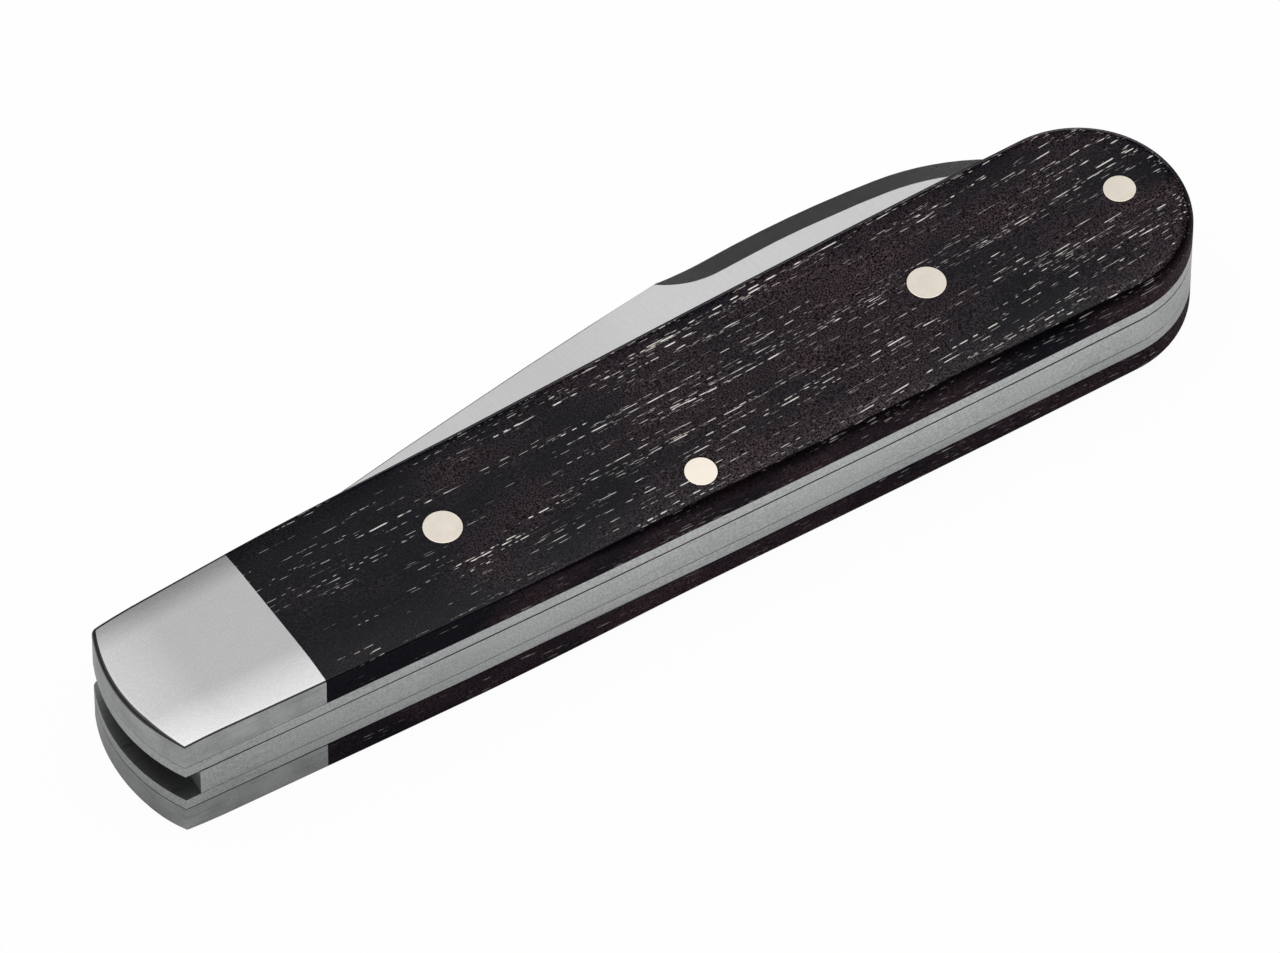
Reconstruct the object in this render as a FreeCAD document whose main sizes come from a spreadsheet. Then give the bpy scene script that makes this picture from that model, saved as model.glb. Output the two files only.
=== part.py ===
import FreeCAD, Part
import math
import os
import Sketcher
from FreeCAD import Placement, Rotation, Vector

# A slip-joint folding pocket knife, closed and lying on its side, in millimetres.
# The origin is on the pivot axis, in the outer face of the rear bolster. +X runs along the handle
# to its butt, +Y to the mouth where the blade comes out, and +Z up through the layers.

dimensions = {
    # outline of the handle, measured from the pivot axis
    "nose_reach": 7.9,
    "nose_radius": 14.0,
    "nose_corner": 0.6,
    "back_at_nose": 6.8,
    "mouth_at_nose": 5.9,
    "back_radius": 2000.0,
    "mouth_radius": 1650.0,
    "butt_reach": 83.7,
    "butt_radius": 8.4,
    "back_at_butt": 6.8,
    "bolster_reach": 5.6,
    # layers, from a scale inwards
    "scale_thickness": 3.0,
    "liner_thickness": 1.2,
    "washer_thickness": 0.13,
    "side_clearance": 0.02,
    "blade_thickness": 2.4,
    # rounding of the scales and crown of the bolsters
    "scale_edge": 1.4,
    "scale_edge_at_bolster": 0.6,
    "bolster_nose_run": 5.4,
    "bolster_nose_radius": 36.0,
    "bolster_flat": 3.4,
    "bolster_side_radius": 18.0,
    # pins and rivets
    "pivot_diameter": 3.5,
    "pivot_clearance": 0.03,
    "washer_margin": 0.3,
    "spring_pin_diameter": 2.5,
    "scale_rivet_diameter": 3.0,
    "bolster_rivet_diameter": 1.6,
    "rivet_flare": 0.3,
    "middle_pin_along": 38.6,
    "middle_pin_drop": 4.75,
    "butt_pin_inset": 4.9,
    "butt_pin_rise": 1.75,
    "fore_rivet_inset": 14.2,
    "fore_rivet_rise": 0.5,
    "aft_rivet_inset": 21.8,
    "aft_rivet_rise": 1.6,
    "bolster_rivet_inset": 1.7,
    "bolster_rivet_rise": 2.5,
    # backspring
    "spring_end": 4.9,
    "spring_seat": 4.0,
    "seat_margin": 1.0,
    "arm_run": 8.6,
    "pin_wall": 1.2,
    "block_reach": 6.8,
    # blade, along and across its own straight spine
    "rest_angle": 10.5,
    "spine_straight": 18.0,
    "spine_radius": 590.0,
    "swedge_run": 19.5,
    "swedge_radius": 92.0,
    "tip_inset": 16.2,
    "tip_radius": 20.0,
    "kick_reach": 8.0,
    "choil_width": 4.0,
    "choil_bulge": 1.7,
    "heel_depth": 4.3,
    "edge_angle": 2.7,
    "cam_lift": 0.8,
    "tang_clearance": 0.02,
    "shoulder_clearance": 0.05,
    "swedge_width": 2.0,
    "swedge_lead": 5.0,
    "swedge_rim": 0.8,
    "grind_width": 6.0,
    "grind_start": 2.5,
    "edge_thickness": 0.2,
    "nick_setback": 7.0,
    "nick_from_spine": 1.9,
    "nick_depth": 0.5,
    "nick_radius": 22.0,
    "nick_lean": 16.0,
}

# how far a cutting profile stands clear of the piece that it cuts, and a bevel's as a share of its size
overrun = 3.0
bevel_overrun = 0.5

doc = FreeCAD.newDocument("pocket_knife")
sheet = doc.addObject("Spreadsheet::Sheet", "sizes")
for row, (alias, number) in enumerate(dimensions.items(), start=1):
    sheet.set(f"A{row}", alias)
    sheet.set(f"B{row}", str(number))
    sheet.setAlias(f"B{row}", alias)
doc.recompute()

# levels of the layers, as expressions on the sheet
well_width = "(sizes.blade_thickness + 2 * (sizes.washer_thickness + sizes.side_clearance))"
well_floor = "(sizes.scale_thickness + sizes.liner_thickness)"
front_liner_floor = f"({well_floor} + {well_width})"
front_scale_floor = f"({front_liner_floor} + sizes.liner_thickness)"
whole_thickness = f"({front_scale_floor} + sizes.scale_thickness)"

# the butt's round end stands on the line of the back
butt_rise = "(sizes.butt_radius - sizes.back_at_butt)"

# stations along the handle
butt_pin_along = "(sizes.butt_reach - sizes.butt_pin_inset)"
fore_rivet_along = "(sizes.bolster_reach + sizes.fore_rivet_inset)"
aft_rivet_along = "(sizes.butt_reach - sizes.aft_rivet_inset)"
bolster_rivet_along = "(sizes.bolster_reach - sizes.bolster_rivet_inset)"

# pins by their place and their diameter
pivot = ("0", "0", "sizes.pivot_diameter")
middle_pin = ("sizes.middle_pin_along", "-sizes.middle_pin_drop", "sizes.spring_pin_diameter")
butt_pin = (butt_pin_along, "sizes.butt_pin_rise", "sizes.spring_pin_diameter")
fore_rivet = (fore_rivet_along, "sizes.fore_rivet_rise", "sizes.scale_rivet_diameter")
aft_rivet = (aft_rivet_along, "sizes.aft_rivet_rise", "sizes.scale_rivet_diameter")
upper_rivet = (bolster_rivet_along, "sizes.bolster_rivet_rise", "sizes.bolster_rivet_diameter")
lower_rivet = (bolster_rivet_along, "-sizes.bolster_rivet_rise", "sizes.bolster_rivet_diameter")

# the blade's own stations: its spine lies in line with the handle's back when it is open
pivot_bore = "(sizes.pivot_diameter + 2 * sizes.pivot_clearance)"
spine_height = "sizes.back_at_nose"
tip_start = "(sizes.butt_reach - sizes.tip_inset)"
swedge_start = f"({tip_start} - sizes.swedge_run)"
heel_along = "(sizes.kick_reach + sizes.choil_width)"
tang_seat = "(sizes.spring_seat - sizes.tang_clearance)"
cam_radius = f"({tang_seat} + sizes.cam_lift)"
spine_radii = ["sizes.spine_radius", "sizes.swedge_radius", "sizes.tip_radius"]
spine_stations = [swedge_start, tip_start, None]


def value(expression):
    return float(FreeCAD.Units.Quantity(doc.sizes.evalExpression(expression)).Value)


def new_body(label, level="0"):
    body = doc.addObject("PartDesign::Body", label)
    body.Label = label
    body.setExpression("Placement.Base.z", level)
    return body


def origin_plane(body, role):
    return next(item for item in body.Origin.OriginFeatures if item.Role == role)


def new_sketch(body, name, role="XY_Plane"):
    sketch = body.newObject("Sketcher::SketchObject", f"{body.Name}_{name}")
    sketch.AttachmentSupport = (origin_plane(body, role), [""])
    sketch.MapMode = "FlatFace"
    return sketch


def bind(sketch, kind, *where_and_expression):
    *where, expression = where_and_expression
    number = value(expression)
    if kind == "Angle":
        number = math.radians(number)
    index = sketch.addConstraint(Sketcher.Constraint(kind, *where, number))
    sketch.setExpression(f"Constraints[{index}]", expression)


def join(sketch, kind, *where):
    sketch.addConstraint(Sketcher.Constraint(kind, *where))


def bind_point(sketch, geometry, position, along, across):
    bind(sketch, "DistanceX", -1, 1, geometry, position, along)
    bind(sketch, "DistanceY", -1, 1, geometry, position, across)


def arc(centre, start, end):
    # anticlockwise from start to end
    circle = Part.Circle(centre, Vector(0, 0, 1), (start - centre).Length)
    first = math.atan2(start.y - centre.y, start.x - centre.x)
    last = math.atan2(end.y - centre.y, end.x - centre.x)
    return Part.ArcOfCircle(circle, first, last)


def add_cut(body, feature):
    # a cut that misses its piece leaves the volume as it was
    doc.recompute()
    if feature.Shape.isNull() or not feature.Shape.Volume < feature.BaseFeature.Shape.Volume:
        raise RuntimeError(f"{feature.Name} cuts nothing: {feature.getStatusString()}")
    body.Tip = feature
    return feature


def pad(body, sketch, thickness):
    feature = body.newObject("PartDesign::Pad", f"{sketch.Name}_pad")
    feature.Profile = sketch
    feature.setExpression("Length", thickness)
    doc.recompute()
    return feature


def pocket_through(body, sketch):
    feature = body.newObject("PartDesign::Pocket", f"{sketch.Name}_pocket")
    feature.Profile = sketch
    feature.Type = "ThroughAll"
    feature.SideType = "Symmetric"
    return add_cut(body, feature)


def edges_where(feature, test):
    return [f"Edge{i}" for i, edge in enumerate(feature.Shape.Edges, start=1) if test(edge)]


def outer_circle_touching(inner_centre, inner_radius, point, radius, side):
    # centre of the circle through a point that holds a smaller circle and touches it from outside
    reach = radius - inner_radius
    step = inner_centre - point
    along = (radius ** 2 - reach ** 2 + step.Length ** 2) / (2 * step.Length)
    across = math.sqrt(radius ** 2 - along ** 2) * side
    step.normalize()
    return point + step * along + Vector(-step.y, step.x, 0) * across


def draw_handle(sketch):
    # back, butt, mouth and nose, as four arcs that run anticlockwise
    nose_radius = value("sizes.nose_radius")
    butt_radius = value("sizes.butt_radius")
    back_radius = value("sizes.back_radius")
    mouth_radius = value("sizes.mouth_radius")
    nose = Vector(nose_radius - value("sizes.nose_reach"), 0, 0)
    butt = Vector(value("sizes.butt_reach") - butt_radius, value(butt_rise), 0)

    def nose_point(rise):
        return Vector(nose.x - math.sqrt(nose_radius ** 2 - rise ** 2), rise, 0)

    back_corner = nose_point(-value("sizes.back_at_nose"))
    mouth_corner = nose_point(value("sizes.mouth_at_nose"))
    back = outer_circle_touching(butt, butt_radius, back_corner, back_radius, 1)
    mouth = outer_circle_touching(butt, butt_radius, mouth_corner, mouth_radius, -1)
    back_end = back + (butt - back) * (back_radius / (butt - back).Length)
    mouth_end = mouth + (butt - mouth) * (mouth_radius / (butt - mouth).Length)
    sketch.addGeometry(arc(back, back_corner, back_end))
    sketch.addGeometry(arc(butt, back_end, mouth_end))
    sketch.addGeometry(arc(mouth, mouth_end, mouth_corner))
    sketch.addGeometry(arc(nose, mouth_corner, back_corner))
    join(sketch, "Tangent", 0, 2, 1, 1)
    join(sketch, "Tangent", 1, 2, 2, 1)
    join(sketch, "Coincident", 2, 2, 3, 1)
    join(sketch, "Coincident", 3, 2, 0, 1)
    bind(sketch, "Radius", 0, "sizes.back_radius")
    bind(sketch, "Radius", 1, "sizes.butt_radius")
    bind(sketch, "Radius", 2, "sizes.mouth_radius")
    bind(sketch, "Radius", 3, "sizes.nose_radius")
    bind_point(sketch, 1, 3, "sizes.butt_reach - sizes.butt_radius", butt_rise)
    bind(sketch, "DistanceX", -1, 1, 3, 3, "sizes.nose_radius - sizes.nose_reach")
    join(sketch, "PointOnObject", 3, 3, -1)
    bind(sketch, "DistanceY", -1, 1, 0, 1, "-sizes.back_at_nose")
    bind(sketch, "DistanceY", -1, 1, 3, 1, "sizes.mouth_at_nose")


def draw_rectangle(sketch, left, right, bottom, top):
    # four lines between expressions for the sides
    low = Vector(value(left), value(bottom), 0)
    high = Vector(value(right), value(top), 0)
    corners = [low, Vector(high.x, low.y, 0), high, Vector(low.x, high.y, 0)]
    for i in range(4):
        sketch.addGeometry(Part.LineSegment(corners[i], corners[(i + 1) % 4]))
    for i in range(4):
        join(sketch, "Coincident", i, 2, (i + 1) % 4, 1)
        join(sketch, "Horizontal" if i % 2 == 0 else "Vertical", i)
    bind_point(sketch, 0, 1, left, bottom)
    bind_point(sketch, 1, 2, right, top)


def draw_circles(sketch, pins):
    for along, across, diameter in pins:
        centre = Vector(value(along), value(across), 0)
        circle = Part.Circle(centre, Vector(0, 0, 1), value(diameter) / 2)
        index = sketch.addGeometry(circle)
        bind(sketch, "Diameter", index, diameter)
        if along == "0" and across == "0":
            join(sketch, "Coincident", index, 3, -1, 1)
        else:
            bind_point(sketch, index, 3, along, across)


def handle_plate(label, level, thickness):
    # a plate with the whole outline of the handle
    body = new_body(label, level)
    outline = new_sketch(body, "outline")
    draw_handle(outline)
    pad(body, outline, thickness)
    return body


def round_nose_corner(body):
    def is_mouth_corner(edge):
        ends = [vertex.Point for vertex in edge.Vertexes]
        upright = abs(ends[0].z - ends[-1].z) > edge.Length / 2
        return upright and ends[0].x < 0 and ends[0].y > 0

    plate = body.Tip
    fillet = body.newObject("PartDesign::Fillet", f"{body.Name}_nose_corner")
    fillet.Base = (plate, edges_where(plate, is_mouth_corner))
    fillet.setExpression("Radius", "sizes.nose_corner")
    return add_cut(body, fillet)


def drill(body, pins):
    holes = new_sketch(body, "holes")
    draw_circles(holes, pins)
    return pocket_through(body, holes)


def trim(body, left, right):
    # takes away the stretch of a handle plate between two stations along it
    stretch = new_sketch(body, "trim")
    reach = f"2 * sizes.butt_radius + {overrun}"
    draw_rectangle(stretch, left, right, f"-({reach})", reach)
    return pocket_through(body, stretch)


def draw_crown(sketch, flat_end, end, radius, top):
    # a thin wedge over an arc that leaves the flat top at flat_end and falls away towards end
    start = Vector(value(flat_end), value(top), 0)
    centre = Vector(start.x, start.y - value(radius), 0)
    reach = value(end) - start.x
    fall = value(radius) - math.sqrt(value(radius) ** 2 - reach ** 2)
    low = Vector(value(end), start.y - fall, 0)
    high = Vector(value(end), start.y, 0)
    outwards = reach > 0
    first = sketch.addGeometry(arc(centre, low, start) if outwards else arc(centre, start, low))
    at_start, at_low = (2, 1) if outwards else (1, 2)
    sketch.addGeometry(Part.LineSegment(low, high))
    sketch.addGeometry(Part.LineSegment(high, start))
    join(sketch, "Coincident", first, at_low, first + 1, 1)
    join(sketch, "Coincident", first + 1, 2, first + 2, 1)
    join(sketch, "Tangent", first + 2, 2, first, at_start)
    join(sketch, "Vertical", first + 1)
    join(sketch, "Horizontal", first + 2)
    bind(sketch, "Radius", first, radius)
    bind_point(sketch, first, at_start, flat_end, top)
    bind(sketch, "DistanceX", -1, 1, first + 1, 1, end)


def make_front_scale():
    body = handle_plate("front_scale_blank", front_scale_floor, "sizes.scale_thickness")
    trim(body, f"-(sizes.nose_reach + {overrun})", "sizes.bolster_reach")
    drill(body, [middle_pin, butt_pin, fore_rivet, aft_rivet])
    doc.recompute()
    # the outer edge is rounded, less so where the wood meets the bolster
    top = value(whole_thickness)
    joint = value("sizes.bolster_reach")
    full = value("sizes.scale_edge")
    slight = value("sizes.scale_edge_at_bolster")
    rounded = []
    for index, edge in enumerate(body.Shape.Edges, start=1):
        box = edge.BoundBox
        on_outer_face = box.ZMin > top - edge.Tolerance and len(edge.Vertexes) == 2
        if on_outer_face and box.XLength > edge.Tolerance:
            radii = [slight if abs(v.X - joint) < edge.Tolerance else full for v in edge.Vertexes]
            rounded.append((index, radii[0], radii[1]))
    scale = doc.addObject("Part::Fillet", "front_scale")
    scale.Label = "front_scale"
    scale.Base = body
    scale.Edges = rounded
    doc.recompute()
    return scale


def make_front_bolster():
    body = handle_plate("front_bolster", front_scale_floor, "sizes.scale_thickness")
    round_nose_corner(body)
    trim(body, "sizes.bolster_reach", f"sizes.butt_reach + {overrun}")
    nose = new_sketch(body, "nose_crown", "XZ_Plane")
    nose_end = f"-(sizes.nose_reach + {overrun})"
    nose_flat = "sizes.bolster_nose_run - sizes.nose_reach"
    draw_crown(nose, nose_flat, nose_end, "sizes.bolster_nose_radius", "sizes.scale_thickness")
    pocket_through(body, nose)
    sides = new_sketch(body, "side_crown", "YZ_Plane")
    side_end = f"(sizes.back_at_nose + {overrun})"
    draw_crown(sides, "sizes.bolster_flat", side_end, "sizes.bolster_side_radius", "sizes.scale_thickness")
    draw_crown(sides, "-sizes.bolster_flat", f"-{side_end}", "sizes.bolster_side_radius",
               "sizes.scale_thickness")
    pocket_through(body, sides)
    drill(body, [pivot, upper_rivet, lower_rivet])
    return body


def make_front_liner():
    body = handle_plate("front_liner", front_liner_floor, "sizes.liner_thickness")
    round_nose_corner(body)
    rivets = [fore_rivet, aft_rivet, upper_rivet, lower_rivet]
    holes = drill(body, [pivot, middle_pin, butt_pin] + rivets)
    # each rivet is spread into a countersink in the liner's inner face
    radii = [value(diameter) / 2 for _, _, diameter in rivets]

    def is_rivet_rim(edge):
        if edge.BoundBox.ZMax > edge.Tolerance or not isinstance(edge.Curve, Part.Circle):
            return False
        return any(abs(edge.Curve.Radius - radius) < edge.Tolerance for radius in radii)

    chamfer = body.newObject("PartDesign::Chamfer", "front_liner_countersinks")
    chamfer.Base = (holes, edges_where(holes, is_rivet_rim))
    chamfer.setExpression("Size", "sizes.rivet_flare")
    add_cut(body, chamfer)
    return body


def make_front_washer():
    level = f"{front_liner_floor} - sizes.washer_thickness"
    body = new_body("front_pivot_washer", level)
    ring = new_sketch(body, "ring")
    rim = "2 * (sizes.spring_seat - sizes.washer_margin)"
    draw_circles(ring, [("0", "0", rim), ("0", "0", pivot_bore)])
    pad(body, ring, "sizes.washer_thickness")
    return body


def make_front_rivet(label, pin):
    # turned about its axis: a straight shank whose inner end is spread into the liner
    along, across, diameter = pin
    body = new_body(label, front_liner_floor)
    body.setExpression("Placement.Base.x", along)
    body.setExpression("Placement.Base.y", across)
    profile = new_sketch(body, "profile", "XZ_Plane")
    radius = f"{diameter} / 2"
    length = "(sizes.liner_thickness + sizes.scale_thickness)"
    flare = "sizes.rivet_flare"
    shank, spread, top, neck = (value(e) for e in (radius, f"{radius} + {flare}", length, flare))
    corners = [(0, 0), (spread, 0), (shank, neck), (shank, top), (0, top)]
    points = [Vector(x, y, 0) for x, y in corners]
    for i in range(5):
        profile.addGeometry(Part.LineSegment(points[i], points[(i + 1) % 5]))
    for i in range(5):
        join(profile, "Coincident", i, 2, (i + 1) % 5, 1)
    join(profile, "Coincident", 0, 1, -1, 1)
    join(profile, "Horizontal", 0)
    join(profile, "Vertical", 2)
    join(profile, "Horizontal", 3)
    join(profile, "Vertical", 4)
    bind_point(profile, 2, 1, radius, flare)
    bind(profile, "DistanceX", -1, 1, 0, 2, f"{radius} + {flare}")
    bind(profile, "DistanceY", -1, 1, 3, 2, length)
    turned = body.newObject("PartDesign::Revolution", f"{label}_turned")
    turned.Profile = profile
    turned.ReferenceAxis = (profile, ["V_Axis"])
    doc.recompute()
    return body


def make_through_pin(label, pin):
    along, across, diameter = pin
    cylinder = doc.addObject("Part::Cylinder", label)
    cylinder.Label = label
    cylinder.setExpression("Radius", f"{diameter} / 2")
    cylinder.setExpression("Height", whole_thickness)
    cylinder.setExpression("Placement.Base.x", along)
    cylinder.setExpression("Placement.Base.y", across)
    return cylinder


def make_rear_twin(front):
    # the same piece on the other side of the blade
    label = front.Label.replace("front_", "rear_")
    twin = doc.addObject("Part::Mirroring", label)
    twin.Label = label
    twin.Source = front
    twin.Normal = Vector(0, 0, 1)
    twin.setExpression("Base.z", f"{whole_thickness} / 2")
    return twin


def make_backspring():
    body = handle_plate("backspring", well_floor, well_width)
    # everything above the spring's inner face, and ahead of its free end, is the blade's well
    well = new_sketch(body, "well")
    floor = "-sizes.spring_seat"
    pin_room = "(sizes.spring_pin_diameter / 2 + sizes.pin_wall)"
    arm = f"({pin_room} - sizes.middle_pin_drop)"
    block_top = f"(sizes.butt_pin_rise + {pin_room})"
    block_front = f"({butt_pin_along} - sizes.block_reach)"
    seat_end = "(sizes.kick_reach + sizes.seat_margin)"
    arm_start = "(sizes.middle_pin_along - sizes.arm_run)"
    hollow = f"({block_top} - {arm})"
    hollow_foot = (f"{block_front} - {hollow}", arm)
    left = f"-(sizes.nose_reach + {overrun})"
    right = f"sizes.butt_reach + {overrun}"
    bottom = f"-(sizes.butt_radius + {overrun})"
    top = f"2 * sizes.butt_radius + {overrun}"
    route = [
        ("-sizes.spring_end", bottom),
        ("-sizes.spring_end", floor),
        (seat_end, floor),
        (arm_start, arm),
        hollow_foot,
        (block_front, block_top),
        (right, block_top),
        (right, top),
        (left, top),
        (left, bottom),
    ]
    points = [Vector(value(x), value(y), 0) for x, y in route]
    hollow_start = route.index(hollow_foot)
    for i in range(len(points)):
        start = points[i]
        end = points[(i + 1) % len(points)]
        if i == hollow_start:
            well.addGeometry(arc(Vector(start.x, end.y, 0), start, end))
        else:
            well.addGeometry(Part.LineSegment(start, end))
    for i in range(len(points)):
        kind = "Tangent" if i + 1 == hollow_start else "Coincident"
        join(well, kind, i, 2, (i + 1) % len(points), 1)
    for i in (1, 3, 5, 7, 9):
        join(well, "Horizontal", i)
    for i in (0, 6, 8):
        join(well, "Vertical", i)
    bind(well, "Radius", hollow_start, hollow)
    bind_point(well, 0, 1, *route[0])
    bind(well, "DistanceY", -1, 1, 1, 1, floor)
    bind(well, "DistanceX", -1, 1, 2, 1, seat_end)
    bind_point(well, 3, 1, *route[3])
    bind_point(well, 5, 1, *route[5])
    bind_point(well, 7, 1, *route[7])
    bind(well, "DistanceX", -1, 1, 8, 2, left)
    pocket_through(body, well)
    drill(body, [middle_pin, butt_pin])
    return body


def spine_curve():
    # three arcs carry the spine on from its straight stretch and turn it down towards the tip
    points = [Vector(value("sizes.spine_straight"), value(spine_height), 0)]
    centres = []
    falling = 0.0
    for radius, station in zip(spine_radii, spine_stations):
        bend = value(radius)
        centre = points[-1] - Vector(math.sin(falling), math.cos(falling), 0) * bend
        centres.append(centre)
        if station:
            falling = math.asin((value(station) - centre.x) / bend)
            points.append(centre + Vector(math.sin(falling), math.cos(falling), 0) * bend)
    return points, centres


def draw_blade(sketch):
    # the blade's own frame: the pivot at its origin, +X to the tip, +Y to the spine
    shoulder = "(sizes.spring_end + sizes.shoulder_clearance)"
    cam_run = f"sqrt({cam_radius} ^ 2 - {tang_seat} ^ 2)"
    seat = value(tang_seat)
    lean = math.radians(value("sizes.rest_angle"))
    slope = math.radians(value("sizes.edge_angle"))
    spine_points, spine_centres = spine_curve()

    # the tip is where the last arc of the spine comes down to the straight edge
    heel = Vector(value(heel_along), -value("sizes.heel_depth"), 0)
    edge = Vector(math.cos(slope), -math.sin(slope), 0)
    offset = heel - spine_centres[-1]
    reach = edge.dot(offset)
    tip_run = -reach + math.sqrt(reach ** 2 - offset.Length ** 2 + value("sizes.tip_radius") ** 2)
    tip = heel + edge * tip_run

    # the tang: a kick, a flat for the closed blade, a round cam and a flat for the open one
    along_flat = Vector(math.cos(lean), -math.sin(lean), 0)
    flat_foot = Vector(-math.sin(lean), -math.cos(lean), 0) * seat
    kick = flat_foot + along_flat * value("sizes.kick_reach")
    closed_end = flat_foot - along_flat * value(cam_run)
    open_end = Vector(-value(cam_run), seat, 0)
    shoulder_foot = Vector(value(shoulder), seat, 0)
    shoulder_top = Vector(value(shoulder), value(spine_height), 0)
    chord = heel - kick
    below = Vector(chord.y, -chord.x, 0)
    below.normalize()
    choil = (heel + kick) * 0.5 + below * value("sizes.choil_bulge")

    pieces = [
        Part.LineSegment(shoulder_foot, shoulder_top),
        Part.LineSegment(shoulder_top, spine_points[0]),
        arc(spine_centres[0], spine_points[1], spine_points[0]),
        arc(spine_centres[1], spine_points[2], spine_points[1]),
        arc(spine_centres[2], tip, spine_points[2]),
        Part.LineSegment(tip, heel),
        arc(choil, heel, kick),
        Part.LineSegment(kick, closed_end),
        arc(Vector(0, 0, 0), open_end, closed_end),
        Part.LineSegment(open_end, shoulder_foot),
    ]
    for piece in pieces:
        sketch.addGeometry(piece)
    choil_chord = sketch.addGeometry(Part.LineSegment(heel, kick), True)
    join(sketch, "Coincident", 0, 2, 1, 1)
    join(sketch, "Tangent", 1, 2, 2, 2)
    join(sketch, "Tangent", 2, 1, 3, 2)
    join(sketch, "Tangent", 3, 1, 4, 2)
    join(sketch, "Coincident", 4, 1, 5, 1)
    join(sketch, "Coincident", 5, 2, 6, 1)
    join(sketch, "Coincident", 6, 2, 7, 1)
    join(sketch, "Coincident", 7, 2, 8, 2)
    join(sketch, "Coincident", 8, 1, 9, 1)
    join(sketch, "Coincident", 9, 2, 0, 1)
    join(sketch, "Coincident", 8, 3, -1, 1)
    join(sketch, "Coincident", choil_chord, 1, 6, 1)
    join(sketch, "Coincident", choil_chord, 2, 6, 2)
    join(sketch, "Vertical", 0)
    join(sketch, "Horizontal", 1)
    join(sketch, "Horizontal", 9)
    bind_point(sketch, 0, 1, shoulder, tang_seat)
    bind(sketch, "DistanceY", -1, 1, 0, 2, spine_height)
    bind(sketch, "DistanceX", -1, 1, 1, 2, "sizes.spine_straight")
    for i, radius in enumerate(spine_radii):
        bind(sketch, "Radius", 2 + i, radius)
    for i, station in enumerate(spine_stations[:-1]):
        bind(sketch, "DistanceX", -1, 1, 2 + i, 1, station)
    bind_point(sketch, 5, 2, heel_along, "-sizes.heel_depth")
    bind(sketch, "Angle", 5, "180 - sizes.edge_angle")
    bind(sketch, "Distance", 6, 3, choil_chord, "sizes.choil_bulge")
    bind(sketch, "Angle", 7, "180 - sizes.rest_angle")
    bind(sketch, "Distance", -1, 1, 7, tang_seat)
    bind(sketch, "Distance", 7, 1, 7, 2, f"sizes.kick_reach + {cam_run}")
    bind(sketch, "Radius", 8, cam_radius)


def draw_bevel(sketch, rim, side, width, drop):
    # a right triangle whose long side falls from the blade's face over a width to a rim, +1 or -1 across
    face = "sizes.blade_thickness / 2"
    beyond = f"({rim}) + ({side} * {width} * {bevel_overrun})"
    within = f"({rim}) - ({side} * {width} * {1 + bevel_overrun})"
    above = f"{face} + {drop} * {bevel_overrun}"
    below = f"{face} - {drop} * {1 + bevel_overrun}"
    corners = [(within, above), (beyond, below), (beyond, above)]
    points = [Vector(value(x), value(y), 0) for x, y in corners]
    for i in range(3):
        sketch.addGeometry(Part.LineSegment(points[i], points[(i + 1) % 3]))
    for i in range(3):
        join(sketch, "Coincident", i, 2, (i + 1) % 3, 1)
    join(sketch, "Vertical", 1)
    join(sketch, "Horizontal", 2)
    bind_point(sketch, 0, 1, within, above)
    bind_point(sketch, 1, 1, beyond, below)


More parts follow.
